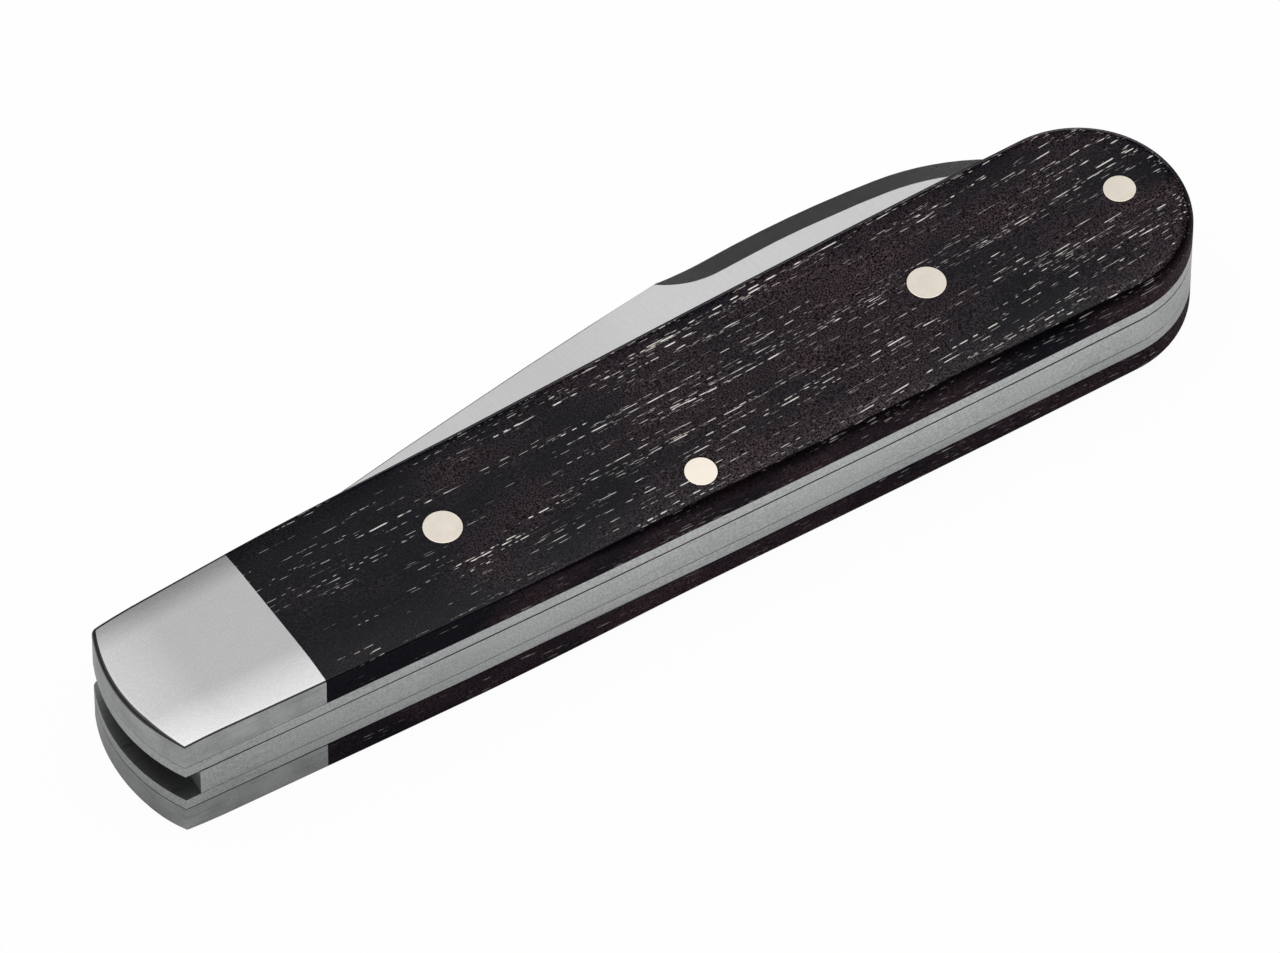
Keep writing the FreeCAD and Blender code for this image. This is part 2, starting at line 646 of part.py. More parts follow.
def cut_swedge(body):
    # a bevel along the falling spine and on past the tip, which a wheel's round brings in from the spine
    points, centres = spine_curve()
    past_tip = f"-(sizes.heel_depth + {swedge_start} * sin(sizes.edge_angle) + 2 * {overrun})"
    drop = value(past_tip) - centres[2].y
    end = Vector(centres[2].x + math.sqrt(value("sizes.tip_radius") ** 2 - drop ** 2), value(past_tip), 0)
    run = f"({swedge_start} - sizes.spine_straight)"
    fall = f"({run} / sizes.spine_radius)"
    level = f"sqrt(1 - {fall} ^ 2)"
    centre_along = f"({swedge_start} - {fall} * sizes.swedge_radius)"
    centre_gap = f"{level} * (sizes.spine_radius - sizes.swedge_radius)"
    centre_height = f"({spine_height} - sizes.spine_radius + {centre_gap})"
    bevel_start = f"({swedge_start} + sizes.swedge_lead)"
    bevel_run = f"({bevel_start} - {centre_along})"
    bevel_height = f"({centre_height} + sqrt(sizes.swedge_radius ^ 2 - {bevel_run} ^ 2))"
    start = Vector(value(bevel_start), value(bevel_height), 0)
    route = new_sketch(body, "swedge_route")
    route.addGeometry(arc(centres[1], points[2], start))
    route.addGeometry(arc(centres[2], end, points[2]))
    join(route, "Tangent", 0, 1, 1, 2)
    bind(route, "Radius", 0, "sizes.swedge_radius")
    bind(route, "Radius", 1, "sizes.tip_radius")
    bind_point(route, 0, 3, centre_along, centre_height)
    bind(route, "DistanceX", -1, 1, 0, 2, bevel_start)
    bind(route, "DistanceX", -1, 1, 0, 1, tip_start)
    bind(route, "DistanceY", -1, 1, 1, 1, past_tip)

    # the section stands square to the spine, with the wheel's axis outside it
    turn = f"asin({bevel_run} / sizes.swedge_radius)"
    wheel = "((sizes.swedge_lead ^ 2 - sizes.swedge_width ^ 2) / (2 * sizes.swedge_width))"
    section = new_sketch(body, "swedge_section", "YZ_Plane")
    section.AttachmentOffset = Placement(Vector(0, 0, 0), Rotation(Vector(0, -1, 0), value(turn)))
    section.setExpression("AttachmentOffset.Rotation.Angle", turn)
    section.setExpression("AttachmentOffset.Base.x", bevel_height)
    section.setExpression("AttachmentOffset.Base.z", bevel_start)
    rim_drop = "(sizes.blade_thickness - sizes.swedge_rim) / 2"
    draw_bevel(section, "0", "1", "sizes.swedge_width", rim_drop)
    low = Vector(value(wheel), 0, 0)
    axis = section.addGeometry(Part.LineSegment(low, low + Vector(0, overrun, 0)), True)
    join(section, "Vertical", axis)
    join(section, "PointOnObject", axis, 1, -1)
    bind(section, "DistanceX", -1, 1, axis, 1, wheel)
    bind(section, "DistanceY", axis, 1, axis, 2, f"{overrun}")
    doc.recompute()
    swedge = body.newObject("PartDesign::SubtractivePipe", "blade_swedge")
    swedge.Profile = section
    swedge.Spine = (route, [""])
    add_cut(body, swedge)
    lead = body.newObject("PartDesign::Groove", "blade_swedge_lead")
    lead.Profile = section
    lead.ReferenceAxis = (section, ["Axis0"])
    lead.setExpression("Angle", f"2 * acos({wheel} / ({wheel} + sizes.swedge_width))")
    lead.Reversed = True
    add_cut(body, lead)
    return [swedge, lead]


def cut_grind(body):
    # a flat bevel from the face down to the edge, from just behind the heel to the tip
    section = new_sketch(body, "grind_section", "YZ_Plane")
    slope = value("sizes.edge_angle")
    section.AttachmentOffset = Placement(Vector(0, 0, 0), Rotation(Vector(0, -1, 0), slope))
    section.setExpression("AttachmentOffset.Rotation.Angle", "sizes.edge_angle")
    section.setExpression("AttachmentOffset.Base.x",
                          "-sizes.heel_depth - sizes.grind_start * sin(sizes.edge_angle)")
    section.setExpression("AttachmentOffset.Base.z",
                          f"{heel_along} + sizes.grind_start * cos(sizes.edge_angle)")
    drop = "(sizes.blade_thickness - sizes.edge_thickness) / 2"
    draw_bevel(section, "0", "-1", "sizes.grind_width", drop)
    doc.recompute()
    grind = body.newObject("PartDesign::Pocket", "blade_grind")
    grind.Profile = section
    grind.Type = "ThroughAll"
    grind.Reversed = True
    return add_cut(body, grind)


def cut_nail_nick(body):
    # a leaning disc bites into the rear face: deepest beside the spine, running out towards the edge
    face = "sizes.blade_thickness / 2"
    lean = value("sizes.nick_lean")
    nick = body.newObject("PartDesign::SubtractiveCylinder", "blade_nail_nick")
    nick.Placement = Placement(Vector(0, 0, 0), Rotation(Vector(1, 0, 0), 90 + lean))
    nick.setExpression("Placement.Rotation.Angle", "90 + sizes.nick_lean")
    nick.setExpression("Placement.Base.x", f"{swedge_start} - sizes.nick_setback")
    nick.setExpression("Placement.Base.y", f"{spine_height} - sizes.nick_from_spine"
                       " + sizes.nick_radius * sin(sizes.nick_lean)")
    nick.setExpression("Placement.Base.z", f"sizes.nick_depth - {face}"
                       " - sizes.nick_radius * cos(sizes.nick_lean)")
    nick.setExpression("Radius", "sizes.nick_radius")
    nick.setExpression("Height", f"sizes.nick_depth / sin(sizes.nick_lean) + {overrun}")
    return add_cut(body, nick)


def make_blade():
    body = new_body("blade")
    body.Placement = Placement(Vector(0, 0, 0), Rotation(Vector(0, 0, 1), value("sizes.rest_angle")))
    body.setExpression("Placement.Rotation.Angle", "sizes.rest_angle")
    body.setExpression("Placement.Base.z", f"{well_floor} + {well_width} / 2")
    outline = new_sketch(body, "outline")
    draw_blade(outline)
    blank = pad(body, outline, "sizes.blade_thickness")
    blank.SideType = "Symmetric"
    doc.recompute()
    drill(body, [("0", "0", pivot_bore)])
    swedge = cut_swedge(body)
    grind = cut_grind(body)
    both_sides = body.newObject("PartDesign::Mirrored", "blade_both_sides")
    both_sides.Originals = swedge + [grind]
    both_sides.MirrorPlane = (origin_plane(body, "XY_Plane"), [""])
    add_cut(body, both_sides)
    cut_nail_nick(body)
    return body


front_pieces = [
    make_front_scale(),
    make_front_bolster(),
    make_front_liner(),
    make_front_washer(),
    make_front_rivet("front_scale_rivet_fore", fore_rivet),
    make_front_rivet("front_scale_rivet_aft", aft_rivet),
    make_front_rivet("front_bolster_rivet_upper", upper_rivet),
    make_front_rivet("front_bolster_rivet_lower", lower_rivet),
]
rear_pieces = [make_rear_twin(piece) for piece in front_pieces]
middle_pieces = [
    make_backspring(),
    make_blade(),
    make_through_pin("pivot_pin", pivot),
    make_through_pin("spring_middle_pin", middle_pin),
    make_through_pin("spring_butt_pin", butt_pin),
]
doc.recompute()

for item in doc.Objects:
    if "Invalid" in item.State or "Error" in item.State:
        raise RuntimeError(f"{item.Name} did not compute: {item.State}")

pieces = front_pieces + rear_pieces + middle_pieces
for piece in pieces:
    if piece.Shape.isNull() or not piece.Shape.isValid() or len(piece.Shape.Solids) != 1:
        raise RuntimeError(f"{piece.Label} is not one valid solid")

os.makedirs("parts", exist_ok=True)
for piece in pieces:
    piece.Shape.exportStep(f"parts/{piece.Label}.step")
    print(piece.Label, round(piece.Shape.Volume, 2))
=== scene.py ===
import math

import bmesh
import bpy
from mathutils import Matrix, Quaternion, Vector


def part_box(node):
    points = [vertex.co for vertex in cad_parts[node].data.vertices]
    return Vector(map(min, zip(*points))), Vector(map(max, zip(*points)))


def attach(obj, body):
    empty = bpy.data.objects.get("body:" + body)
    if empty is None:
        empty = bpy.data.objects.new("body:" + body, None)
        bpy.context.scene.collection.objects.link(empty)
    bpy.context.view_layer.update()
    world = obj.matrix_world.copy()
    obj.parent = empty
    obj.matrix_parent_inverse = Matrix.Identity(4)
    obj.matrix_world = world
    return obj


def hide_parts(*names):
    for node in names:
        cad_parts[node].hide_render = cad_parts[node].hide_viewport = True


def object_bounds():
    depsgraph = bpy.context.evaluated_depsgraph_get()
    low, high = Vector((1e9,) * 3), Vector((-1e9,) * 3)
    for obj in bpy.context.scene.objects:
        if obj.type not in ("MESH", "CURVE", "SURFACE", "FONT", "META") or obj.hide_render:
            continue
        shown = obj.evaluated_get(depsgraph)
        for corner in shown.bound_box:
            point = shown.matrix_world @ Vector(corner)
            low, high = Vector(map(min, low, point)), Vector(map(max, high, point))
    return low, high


# A folding pocket knife, closed and lying on its side: dark open-pored wood, satin bolsters, ground steel.
# The origin is on the pivot axis at the table, +X runs to the butt, +Y to the mouth and +Z up.

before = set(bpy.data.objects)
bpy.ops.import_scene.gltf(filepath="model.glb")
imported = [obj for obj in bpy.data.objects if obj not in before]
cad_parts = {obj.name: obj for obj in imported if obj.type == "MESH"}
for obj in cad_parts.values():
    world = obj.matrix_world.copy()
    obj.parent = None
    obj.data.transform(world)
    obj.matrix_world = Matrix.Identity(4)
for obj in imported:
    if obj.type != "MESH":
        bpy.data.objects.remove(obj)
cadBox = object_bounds()
mm = 0.001
sides = ("front", "rear")
scene = bpy.context.scene
print("frame loaded,", len(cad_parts), "nodes")


# camera, light and floor

viewpoint = {
    "target": Vector((38.9, 4.285, 0.0)) * mm,
    "azimuth": -31.34,
    "elevation": 52.62,
    "roll": 0.287,
    "distance": 1113.6 * mm,
    "lens": 423.97,  # millimetres, on a sensor as wide as the picture
    "sensor": 36.0,
    "clip": (0.01, 20.0),
}


def awayFromObject(azimuth, elevation):
    turn, rise = math.radians(azimuth), math.radians(elevation)
    return Vector((math.sin(turn) * math.cos(rise), -math.cos(turn) * math.cos(rise), math.sin(rise)))


def setCamera():
    lens = bpy.data.cameras.new("pictureCamera")
    lens.lens = viewpoint["lens"]
    lens.sensor_width = viewpoint["sensor"]
    lens.clip_start, lens.clip_end = viewpoint["clip"]
    camera = bpy.data.objects.new("pictureCamera", lens)
    scene.collection.objects.link(camera)
    back = awayFromObject(viewpoint["azimuth"], viewpoint["elevation"])
    camera.location = viewpoint["target"] + back * viewpoint["distance"]
    camera.rotation_mode = "QUATERNION"
    level = (-back).to_track_quat("-Z", "Y")
    camera.rotation_quaternion = level @ Quaternion((0, 0, 1), math.radians(viewpoint["roll"]))
    scene.camera = camera


# small helpers for node trees

def place(tree, kind, inputs=None, **settings):
    node = tree.nodes.new(kind)
    for key, setting in settings.items():
        setattr(node, key, setting)
    for key, given in (inputs or {}).items():
        connect(tree, given, node.inputs[key])
    return node


def connect(tree, given, socket):
    if isinstance(given, bpy.types.NodeSocket):
        tree.links.new(given, socket)
    else:
        socket.default_value = given


def calc(tree, operation, *given, clamp=False):
    inputs = dict(enumerate(given))
    return place(tree, "ShaderNodeMath", inputs, operation=operation, use_clamp=clamp).outputs[0]


def vectorCalc(tree, operation, *given):
    node = place(tree, "ShaderNodeVectorMath", dict(enumerate(given)), operation=operation)
    return node.outputs["Value"] if operation in ("DOT_PRODUCT", "LENGTH") else node.outputs["Vector"]


def component(tree, vector, axis):
    return place(tree, "ShaderNodeSeparateXYZ", {0: vector}).outputs[axis]


def turnedBy(tree, vector, degrees):
    inputs = {"Vector": vector, "Rotation": (0, 0, -math.radians(degrees))}
    return place(tree, "ShaderNodeMapping", inputs).outputs[0]


def scaleColour(tree, colour, share):
    return place(tree, "ShaderNodeVectorMath", {0: colour, "Scale": share}, operation="SCALE").outputs[0]


def blendColours(tree, share, first, second):
    # the colour sockets of a mix node are its inputs 6 and 7 and its output 2
    return place(tree, "ShaderNodeMix", {0: share, 6: first, 7: second}, data_type="RGBA").outputs[2]


def noise(tree, vector, detail, roughness=0.5, scale=1.0):
    inputs = {"Vector": vector, "Scale": scale, "Detail": detail, "Roughness": roughness}
    return place(tree, "ShaderNodeTexNoise", inputs).outputs


def remap(tree, given, fromLow, fromHigh, toLow=0.0, toHigh=1.0, smooth=False):
    inputs = {"Value": given, "From Min": fromLow, "From Max": fromHigh, "To Min": toLow, "To Max": toHigh}
    interpolation = "SMOOTHSTEP" if smooth else "LINEAR"
    return place(tree, "ShaderNodeMapRange", inputs, interpolation_type=interpolation).outputs["Result"]


def between(tree, share, low, high):
    return remap(tree, share, 0.0, 1.0, low, high)


def ramp(tree, given, stops):
    node = place(tree, "ShaderNodeValToRGB", {"Fac": given})
    elements = node.color_ramp.elements
    while len(elements) < len(stops):
        elements.new(1.0)
    for element, (position, level) in zip(elements, stops):
        element.position = position
        element.color = (level, level, level, 1.0)
    return node.outputs["Color"]


studio = {
    # brightness by the angle over the object, from the horizon behind it (0) to the one before it (180)
    "skyStops": [(0, 0.03), (18, 0.04), (32, 0.17), (44, 0.56), (54, 1.15), (66, 1.7), (76, 1.85),
                 (88, 2.4), (108, 2.4), (118, 0.8), (150, 0.5), (180, 0.4)],
    "skyWidth": (0.55, 0.9),  # how far to the sides the bright part reaches, as a sine
    "skyEdge": 0.35,
    "floorHalf": 4.0,
    "floorLevel": -0.02 * mm,
    "floorColour": (0.86, 0.86, 0.86),
    "floorShown": 0.96,  # share of plain white in the floor as the picture shows it
    "floorMirrored": 0.1,  # the same, as metal mirrors it
    "paintedContactShade": 0.66,  # painted shade: how bright the mirrored floor is close to the handle
    "paintedContactRun": (2.0 * mm, 7.0 * mm),  # distances between which it gets its full brightness
}


def lightStudio():
    world = bpy.data.worlds.new("softStudio")
    world.use_nodes = True
    scene.world = world
    tree = world.node_tree
    tree.nodes.clear()
    direction = place(tree, "ShaderNodeTexCoord").outputs["Generated"]
    back = awayFromObject(viewpoint["azimuth"], 0.0)
    behind = vectorCalc(tree, "DOT_PRODUCT", direction, -back)
    sideways = vectorCalc(tree, "DOT_PRODUCT", direction, back.cross(Vector((0, 0, 1))))
    angle = calc(tree, "ARCTAN2", component(tree, direction, "Z"), behind)
    angle = calc(tree, "DIVIDE", angle, math.pi)
    brightest = max(level for degrees, level in studio["skyStops"])
    stops = [(degrees / 180.0, level / brightest) for degrees, level in studio["skyStops"]]
    overhead = calc(tree, "MULTIPLY", ramp(tree, angle, stops), brightest)
    wide = remap(tree, calc(tree, "ABSOLUTE", sideways), *studio["skyWidth"], 1.0, 0.0, smooth=True)
    above = calc(tree, "SUBTRACT", overhead, studio["skyEdge"])
    level = calc(tree, "MULTIPLY_ADD", above, wide, studio["skyEdge"])
    sky = place(tree, "ShaderNodeBackground", {"Strength": level})
    white = place(tree, "ShaderNodeBackground", {"Color": (1, 1, 1, 1), "Strength": 1.0})
    seen = place(tree, "ShaderNodeLightPath").outputs["Is Camera Ray"]
    shown = place(tree, "ShaderNodeMixShader", {0: seen, 1: sky.outputs[0], 2: white.outputs[0]})
    place(tree, "ShaderNodeOutputWorld", {"Surface": shown.outputs[0]})


def layFloor():
    half, level = studio["floorHalf"], studio["floorLevel"]
    mesh = bpy.data.meshes.new("paleFloor")
    corners = [(-half, -half, level), (half, -half, level), (half, half, level), (-half, half, level)]
    mesh.from_pydata(corners, [], [(0, 1, 2, 3)])
    floor = bpy.data.objects.new("paleFloor", mesh)
    scene.collection.objects.link(floor)
    material = bpy.data.materials.new("paleFloor")
    material.use_nodes = True
    tree = material.node_tree
    tree.nodes.clear()
    rays = place(tree, "ShaderNodeLightPath").outputs
    mirrored = calc(tree, "MAXIMUM", rays["Is Glossy Ray"], rays["Is Transmission Ray"])
    # painted shade: the floor, as metal mirrors it, is darker close to the handle
    low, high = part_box("rear_liner")
    ownPlace = place(tree, "ShaderNodeTexCoord").outputs["Object"]
    away = vectorCalc(tree, "ABSOLUTE", vectorCalc(tree, "SUBTRACT", ownPlace, (low + high) / 2))
    away = vectorCalc(tree, "SUBTRACT", away, (high - low) / 2)
    away = vectorCalc(tree, "MULTIPLY", vectorCalc(tree, "MAXIMUM", away, (0, 0, 0)), (1, 1, 0))
    shade = remap(tree, vectorCalc(tree, "LENGTH", away), *studio["paintedContactRun"],
                  1.0 - studio["paintedContactShade"], 0.0, smooth=True)
    tone = calc(tree, "SUBTRACT", 1.0, calc(tree, "MULTIPLY", mirrored, shade))
    matt = place(tree, "ShaderNodeBsdfDiffuse", {"Color": scaleColour(tree, studio["floorColour"], tone)})
    white = place(tree, "ShaderNodeEmission", {"Color": (1, 1, 1, 1), "Strength": 1.0})
    mirrored = calc(tree, "MULTIPLY", mirrored, studio["floorMirrored"])
    glow = calc(tree, "MULTIPLY_ADD", rays["Is Camera Ray"], studio["floorShown"], mirrored)
    shown = place(tree, "ShaderNodeMixShader", {0: glow, 1: matt.outputs[0], 2: white.outputs[0]})
    place(tree, "ShaderNodeOutputMaterial", {"Surface": shown.outputs[0]})
    mesh.materials.append(material)


setCamera()
lightStudio()
layFloor()
print("camera, light and floor set")


# shader groups that several finishes share

def newGroup(name, inputs, outputs):
    group = bpy.data.node_groups.new(name, "ShaderNodeTree")
    for label, kind, default in inputs:
        socket = group.interface.new_socket(name=label, in_out="INPUT", socket_type=kind)
        socket.default_value = default
    for label, kind in outputs:
        group.interface.new_socket(name=label, in_out="OUTPUT", socket_type=kind)
    return group, group.nodes.new("NodeGroupInput").outputs, group.nodes.new("NodeGroupOutput").inputs


grinding = {
    "detail": 3.0,
    "roughness": 0.7,
    "deepSpacing": 0.31,  # number of deep scratches, as a share of the fine lines'
    "deepDetail": 1.0,
    "deepFrom": (0.62, 0.72),
    "toneRange": (0.2, 0.8),
}


def makeGrindLines():
    # fine parallel scratches: a noise drawn out along one direction, and a few deeper ones
    group, given, made = newGroup(
        "grindLines",
        [("Vector", "NodeSocketVector", (0, 0, 0)),
         ("Lines per metre", "NodeSocketVector", (1000, 1000, 1000)),
         ("Deep share", "NodeSocketFloat", 0.3)],
        [("Tone", "NodeSocketFloat")])
    drawn = vectorCalc(group, "MULTIPLY", given["Vector"], given["Lines per metre"])
    fine = noise(group, drawn, grinding["detail"], grinding["roughness"])["Fac"]
    broad = vectorCalc(group, "MULTIPLY", drawn, [grinding["deepSpacing"]] * 3)
    deep = noise(group, broad, grinding["deepDetail"])["Fac"]
    scratch = remap(group, deep, *grinding["deepFrom"], smooth=True)
    sunk = calc(group, "MULTIPLY", scratch, given["Deep share"])
    connect(group, calc(group, "SUBTRACT", fine, sunk), made["Tone"])
    return group


handling = {
    "detail": 3.0,
    "roughness": 0.55,
    "specksPerPatch": 40.0,
    "patchRange": (0.35, 0.65),
    "speckRange": (0.3, 0.7),
}


def makePatches():
    # slow uneven patches, as a worn or handled surface has
    group, given, made = newGroup(
        "handledPatches",
        [("Vector", "NodeSocketVector", (0, 0, 0)), ("Patches per metre", "NodeSocketFloat", 100.0)],
        [("Patch", "NodeSocketFloat"), ("Speck", "NodeSocketFloat")])
    coarse = given["Patches per metre"]
    fine = calc(group, "MULTIPLY", coarse, handling["specksPerPatch"])
    for label, scale, span in (("Patch", coarse, "patchRange"), ("Speck", fine, "speckRange")):
        cloud = noise(group, given["Vector"], handling["detail"], handling["roughness"], scale)["Fac"]
        connect(group, remap(group, cloud, *handling[span]), made[label])
    return group


vessels = {
    "thinnest": 0.55,  # share of the full radius
    "core": 0.45,  # share of the radius that is quite open
    "shuffle": 211.0,  # sets the dashes of one vessel off from those of the others
    "dashDetail": 1.0,
    "dashEdge": 0.12,
}


def makePores():
    # open pores cut along their length: one thin vessel in each long cell, broken into dashes
    group, given, made = newGroup(
        "openPores",
        [("Vector", "NodeSocketVector", (0, 0, 0)),
         ("Vessel length", "NodeSocketFloat", 12 * mm),
         ("Vessel pitch", "NodeSocketFloat", 0.3 * mm),
         ("Radius", "NodeSocketFloat", 0.05 * mm),
         ("Share", "NodeSocketFloat", 0.5),
         ("Dash length", "NodeSocketFloat", 1.5 * mm),
         ("Dash level", "NodeSocketFloat", 0.5)],
        [("Mask", "NodeSocketFloat"), ("Tint", "NodeSocketFloat")])
    pitch = given["Vessel pitch"]
    size = place(group, "ShaderNodeCombineXYZ", {"X": given["Vessel length"], "Y": pitch, "Z": pitch})
    drawn = vectorCalc(group, "DIVIDE", given["Vector"], size.outputs[0])
    cells = place(group, "ShaderNodeTexVoronoi", {"Vector": drawn, "Scale": 1.0, "Randomness": 1.0}).outputs
    chance = place(group, "ShaderNodeSeparateColor", {"Color": cells["Color"]}).outputs
    fromAxis = vectorCalc(group, "SUBTRACT", drawn, cells["Position"])
    fromAxis = vectorCalc(group, "MULTIPLY", fromAxis, (0.0, 1.0, 1.0))
    across = vectorCalc(group, "LENGTH", fromAxis)
    thinned = between(group, chance["Green"], vessels["thinnest"], 1.0)
    radius = calc(group, "MULTIPLY", given["Radius"], thinned)
    reach = calc(group, "DIVIDE", calc(group, "MULTIPLY", across, pitch), radius)
    vessel = remap(group, reach, vessels["core"], 1.0, 1.0, 0.0, smooth=True)
    along = calc(group, "DIVIDE", component(group, given["Vector"], "X"), given["Dash length"])
    along = calc(group, "MULTIPLY_ADD", chance["Blue"], vessels["shuffle"], along)
    inputs = {"W": along, "Scale": 1.0, "Detail": vessels["dashDetail"]}
    breaks = place(group, "ShaderNodeTexNoise", inputs, noise_dimensions="1D").outputs["Fac"]
    breaks = calc(group, "SUBTRACT", breaks, given["Dash level"])
    dash = remap(group, breaks, 0.0, vessels["dashEdge"], smooth=True)
    present = calc(group, "LESS_THAN", chance["Red"], given["Share"])
    mask = calc(group, "MULTIPLY", calc(group, "MULTIPLY", vessel, dash), present)
    connect(group, mask, made["Mask"])
    connect(group, chance["Green"], made["Tint"])
    return group


grindLines = makeGrindLines()
handledPatches = makePatches()
openPores = makePores()


def useGroup(tree, group, inputs):
    return place(tree, "ShaderNodeGroup", inputs, node_tree=group).outputs


def newFinish(name):
    material = bpy.data.materials.new(name)
    material.use_nodes = True
    tree = material.node_tree
    tree.nodes.clear()
    surface = place(tree, "ShaderNodeBsdfPrincipled")
    place(tree, "ShaderNodeOutputMaterial", {"Surface": surface.outputs[0]})
    ownPlace = place(tree, "ShaderNodeTexCoord").outputs["Object"]
    return material, tree, surface.inputs, ownPlace


def addBump(tree, height, distance, strength, normalSocket):
    bump = place(tree, "ShaderNodeBump", {"Height": height, "Distance": distance, "Strength": strength})
    connect(tree, bump.outputs["Normal"], normalSocket)


# finishes

wood = {
    "grainTurn": 0.3,  # at the pivot, in degrees from the handle's length
    "grainBend": 0.6,  # how fast the grain then turns to the mouth, per metre
    "wander": 0.35 * mm,
    "wanderPace": (55.0, 160.0, 160.0),  # waves per metre
    "streaks": (60.0, 800.0, 800.0),
    "streakRange": (0.36, 0.64),
    "detail": 2.0,
    "patches": 180.0,
    "patchDraw": (0.45, 1.0, 1.0),
    "flecks": 185.0,
    "sparseTo": (6 * mm, 34 * mm),  # pores are fewer near the bolster
    "sparse": -0.6,
    "black": (0.0036, 0.0033, 0.0062, 1.0),
    "brown": (0.0225, 0.0130, 0.0165, 1.0),
    "porePale": (0.92, 0.88, 0.83, 1.0),
    "poreDim": (0.13, 0.115, 0.11, 1.0),
    "poreRoughness": 0.8,
    "poreDepth": 0.04 * mm,
    "fibre": 0.25,  # how high the fibres stand, as a share of the pores' depth
    # flecks without sheen and flecks with twice the usual one, where the wood is brown
    "fleckSheen": (0.17, 0.83),
    "bump": 0.5,
}
woodFace = {"specular": 0.155, "roughness": (0.09, 0.19), "poreShare": 1.0, "fleck": (-1.3, 3.3)}
woodEdge = {"specular": 0.02, "roughness": (0.45, 0.55), "poreShare": 0.3, "fleck": (0.0, 2.0),
            "paintedUprightShade": (0.2, 1.35)}  # painted shade, from the deepest on the rolled edge to the lighter wall
poreLayers = [
    # thin and dim first, long and pale last
    {"length": 2.2 * mm, "pitch": 0.17 * mm, "radius": 0.044 * mm, "share": (0.12, 0.64), "dash": 0.8 * mm,
     "level": 0.46, "pale": (0.05, 0.5), "shift": (0.0071, 0.0019, 0.0053)},
    {"length": 5.0 * mm, "pitch": 0.25 * mm, "radius": 0.060 * mm, "share": (0.03, 0.58), "dash": 0.9 * mm,
     "level": 0.48, "pale": (0.3, 1.0), "shift": (0.0137, 0.0041, 0.0023)},
    {"length": 16.0 * mm, "pitch": 0.30 * mm, "radius": 0.074 * mm, "share": (0.02, 0.62), "dash": 1.6 * mm,
     "level": 0.47, "pale": (0.6, 1.0), "shift": (0.0, 0.0, 0.0)},
]


def darkWood(name, finish):
    material, tree, surface, ownPlace = newFinish(name)
    turned = turnedBy(tree, ownPlace, wood["grainTurn"])
    # the grain bends towards the mouth and wanders a little to the sides
    along = component(tree, turned, "X")
    rise = calc(tree, "MULTIPLY", calc(tree, "MULTIPLY", along, along), wood["grainBend"])
    rise = place(tree, "ShaderNodeCombineXYZ", {"Y": rise}).outputs[0]
    turned = vectorCalc(tree, "SUBTRACT", turned, rise)
    slow = vectorCalc(tree, "MULTIPLY", turned, wood["wanderPace"])
    bend = vectorCalc(tree, "SUBTRACT", noise(tree, slow, wood["detail"])["Color"], (0.5, 0.5, 0.5))
    bend = vectorCalc(tree, "MULTIPLY", bend, (0.0, 2 * wood["wander"], 2 * wood["wander"]))
    grain = vectorCalc(tree, "ADD", turned, bend)
    # streaks along the grain, where pores crowd together
    streaks = vectorCalc(tree, "MULTIPLY", grain, wood["streaks"])
    crowd = noise(tree, streaks, wood["detail"])["Fac"]
    thinned = remap(tree, along, *wood["sparseTo"], wood["sparse"], 0.0)
    crowd = calc(tree, "ADD", remap(tree, crowd, *wood["streakRange"]), thinned)
    drawn = vectorCalc(tree, "MULTIPLY", grain, wood["patchDraw"])
    patches = useGroup(tree, handledPatches, {"Vector": drawn, "Patches per metre": wood["patches"]})
    brown = calc(tree, "ADD", patches["Patch"], thinned, clamp=True)
    colour = blendColours(tree, brown, wood["black"], wood["brown"])
    flecks = useGroup(tree, handledPatches, {"Vector": grain, "Patches per metre": wood["flecks"]})["Speck"]
    fleck = calc(tree, "MAXIMUM", between(tree, flecks, *finish["fleck"]), 0.0)
    # painted shade: the edge's colour is darkened by its tilt, most on the rolled edge
    if "paintedUprightShade" in finish:
        upright = place(tree, "ShaderNodeAttribute", attribute_name="upright").outputs["Fac"]
        fleck = calc(tree, "MULTIPLY", fleck, between(tree, upright, *finish["paintedUprightShade"]))
    colour = scaleColour(tree, colour, fleck)
    opened = None
    for layer in poreLayers:
        pores = useGroup(tree, openPores, {
            "Vector": vectorCalc(tree, "ADD", grain, layer["shift"]),
            "Vessel length": layer["length"], "Vessel pitch": layer["pitch"], "Radius": layer["radius"],
            "Share": between(tree, crowd, *layer["share"]),
            "Dash length": layer["dash"], "Dash level": layer["level"]})
        pale = between(tree, pores["Tint"], *layer["pale"])
        filling = blendColours(tree, pale, wood["poreDim"], wood["porePale"])
        filled = calc(tree, "MULTIPLY", pores["Mask"], finish["poreShare"])
        colour = blendColours(tree, filled, colour, filling)
        opened = filled if opened is None else calc(tree, "MAXIMUM", opened, filled)
    connect(tree, colour, surface["Base Color"])
    skin = between(tree, patches["Speck"], *finish["roughness"])
    connect(tree, between(tree, opened, skin, wood["poreRoughness"]), surface["Roughness"])
    change = calc(tree, "MULTIPLY", brown, remap(tree, flecks, *wood["fleckSheen"], -1.0, 1.0))
    sheen = calc(tree, "MULTIPLY_ADD", change, finish["specular"], finish["specular"])
    connect(tree, sheen, surface["Specular IOR Level"])
    relief = calc(tree, "SUBTRACT", calc(tree, "MULTIPLY", flecks, wood["fibre"]), opened)
    addBump(tree, relief, wood["poreDepth"], wood["bump"], surface["Normal"])
    return material


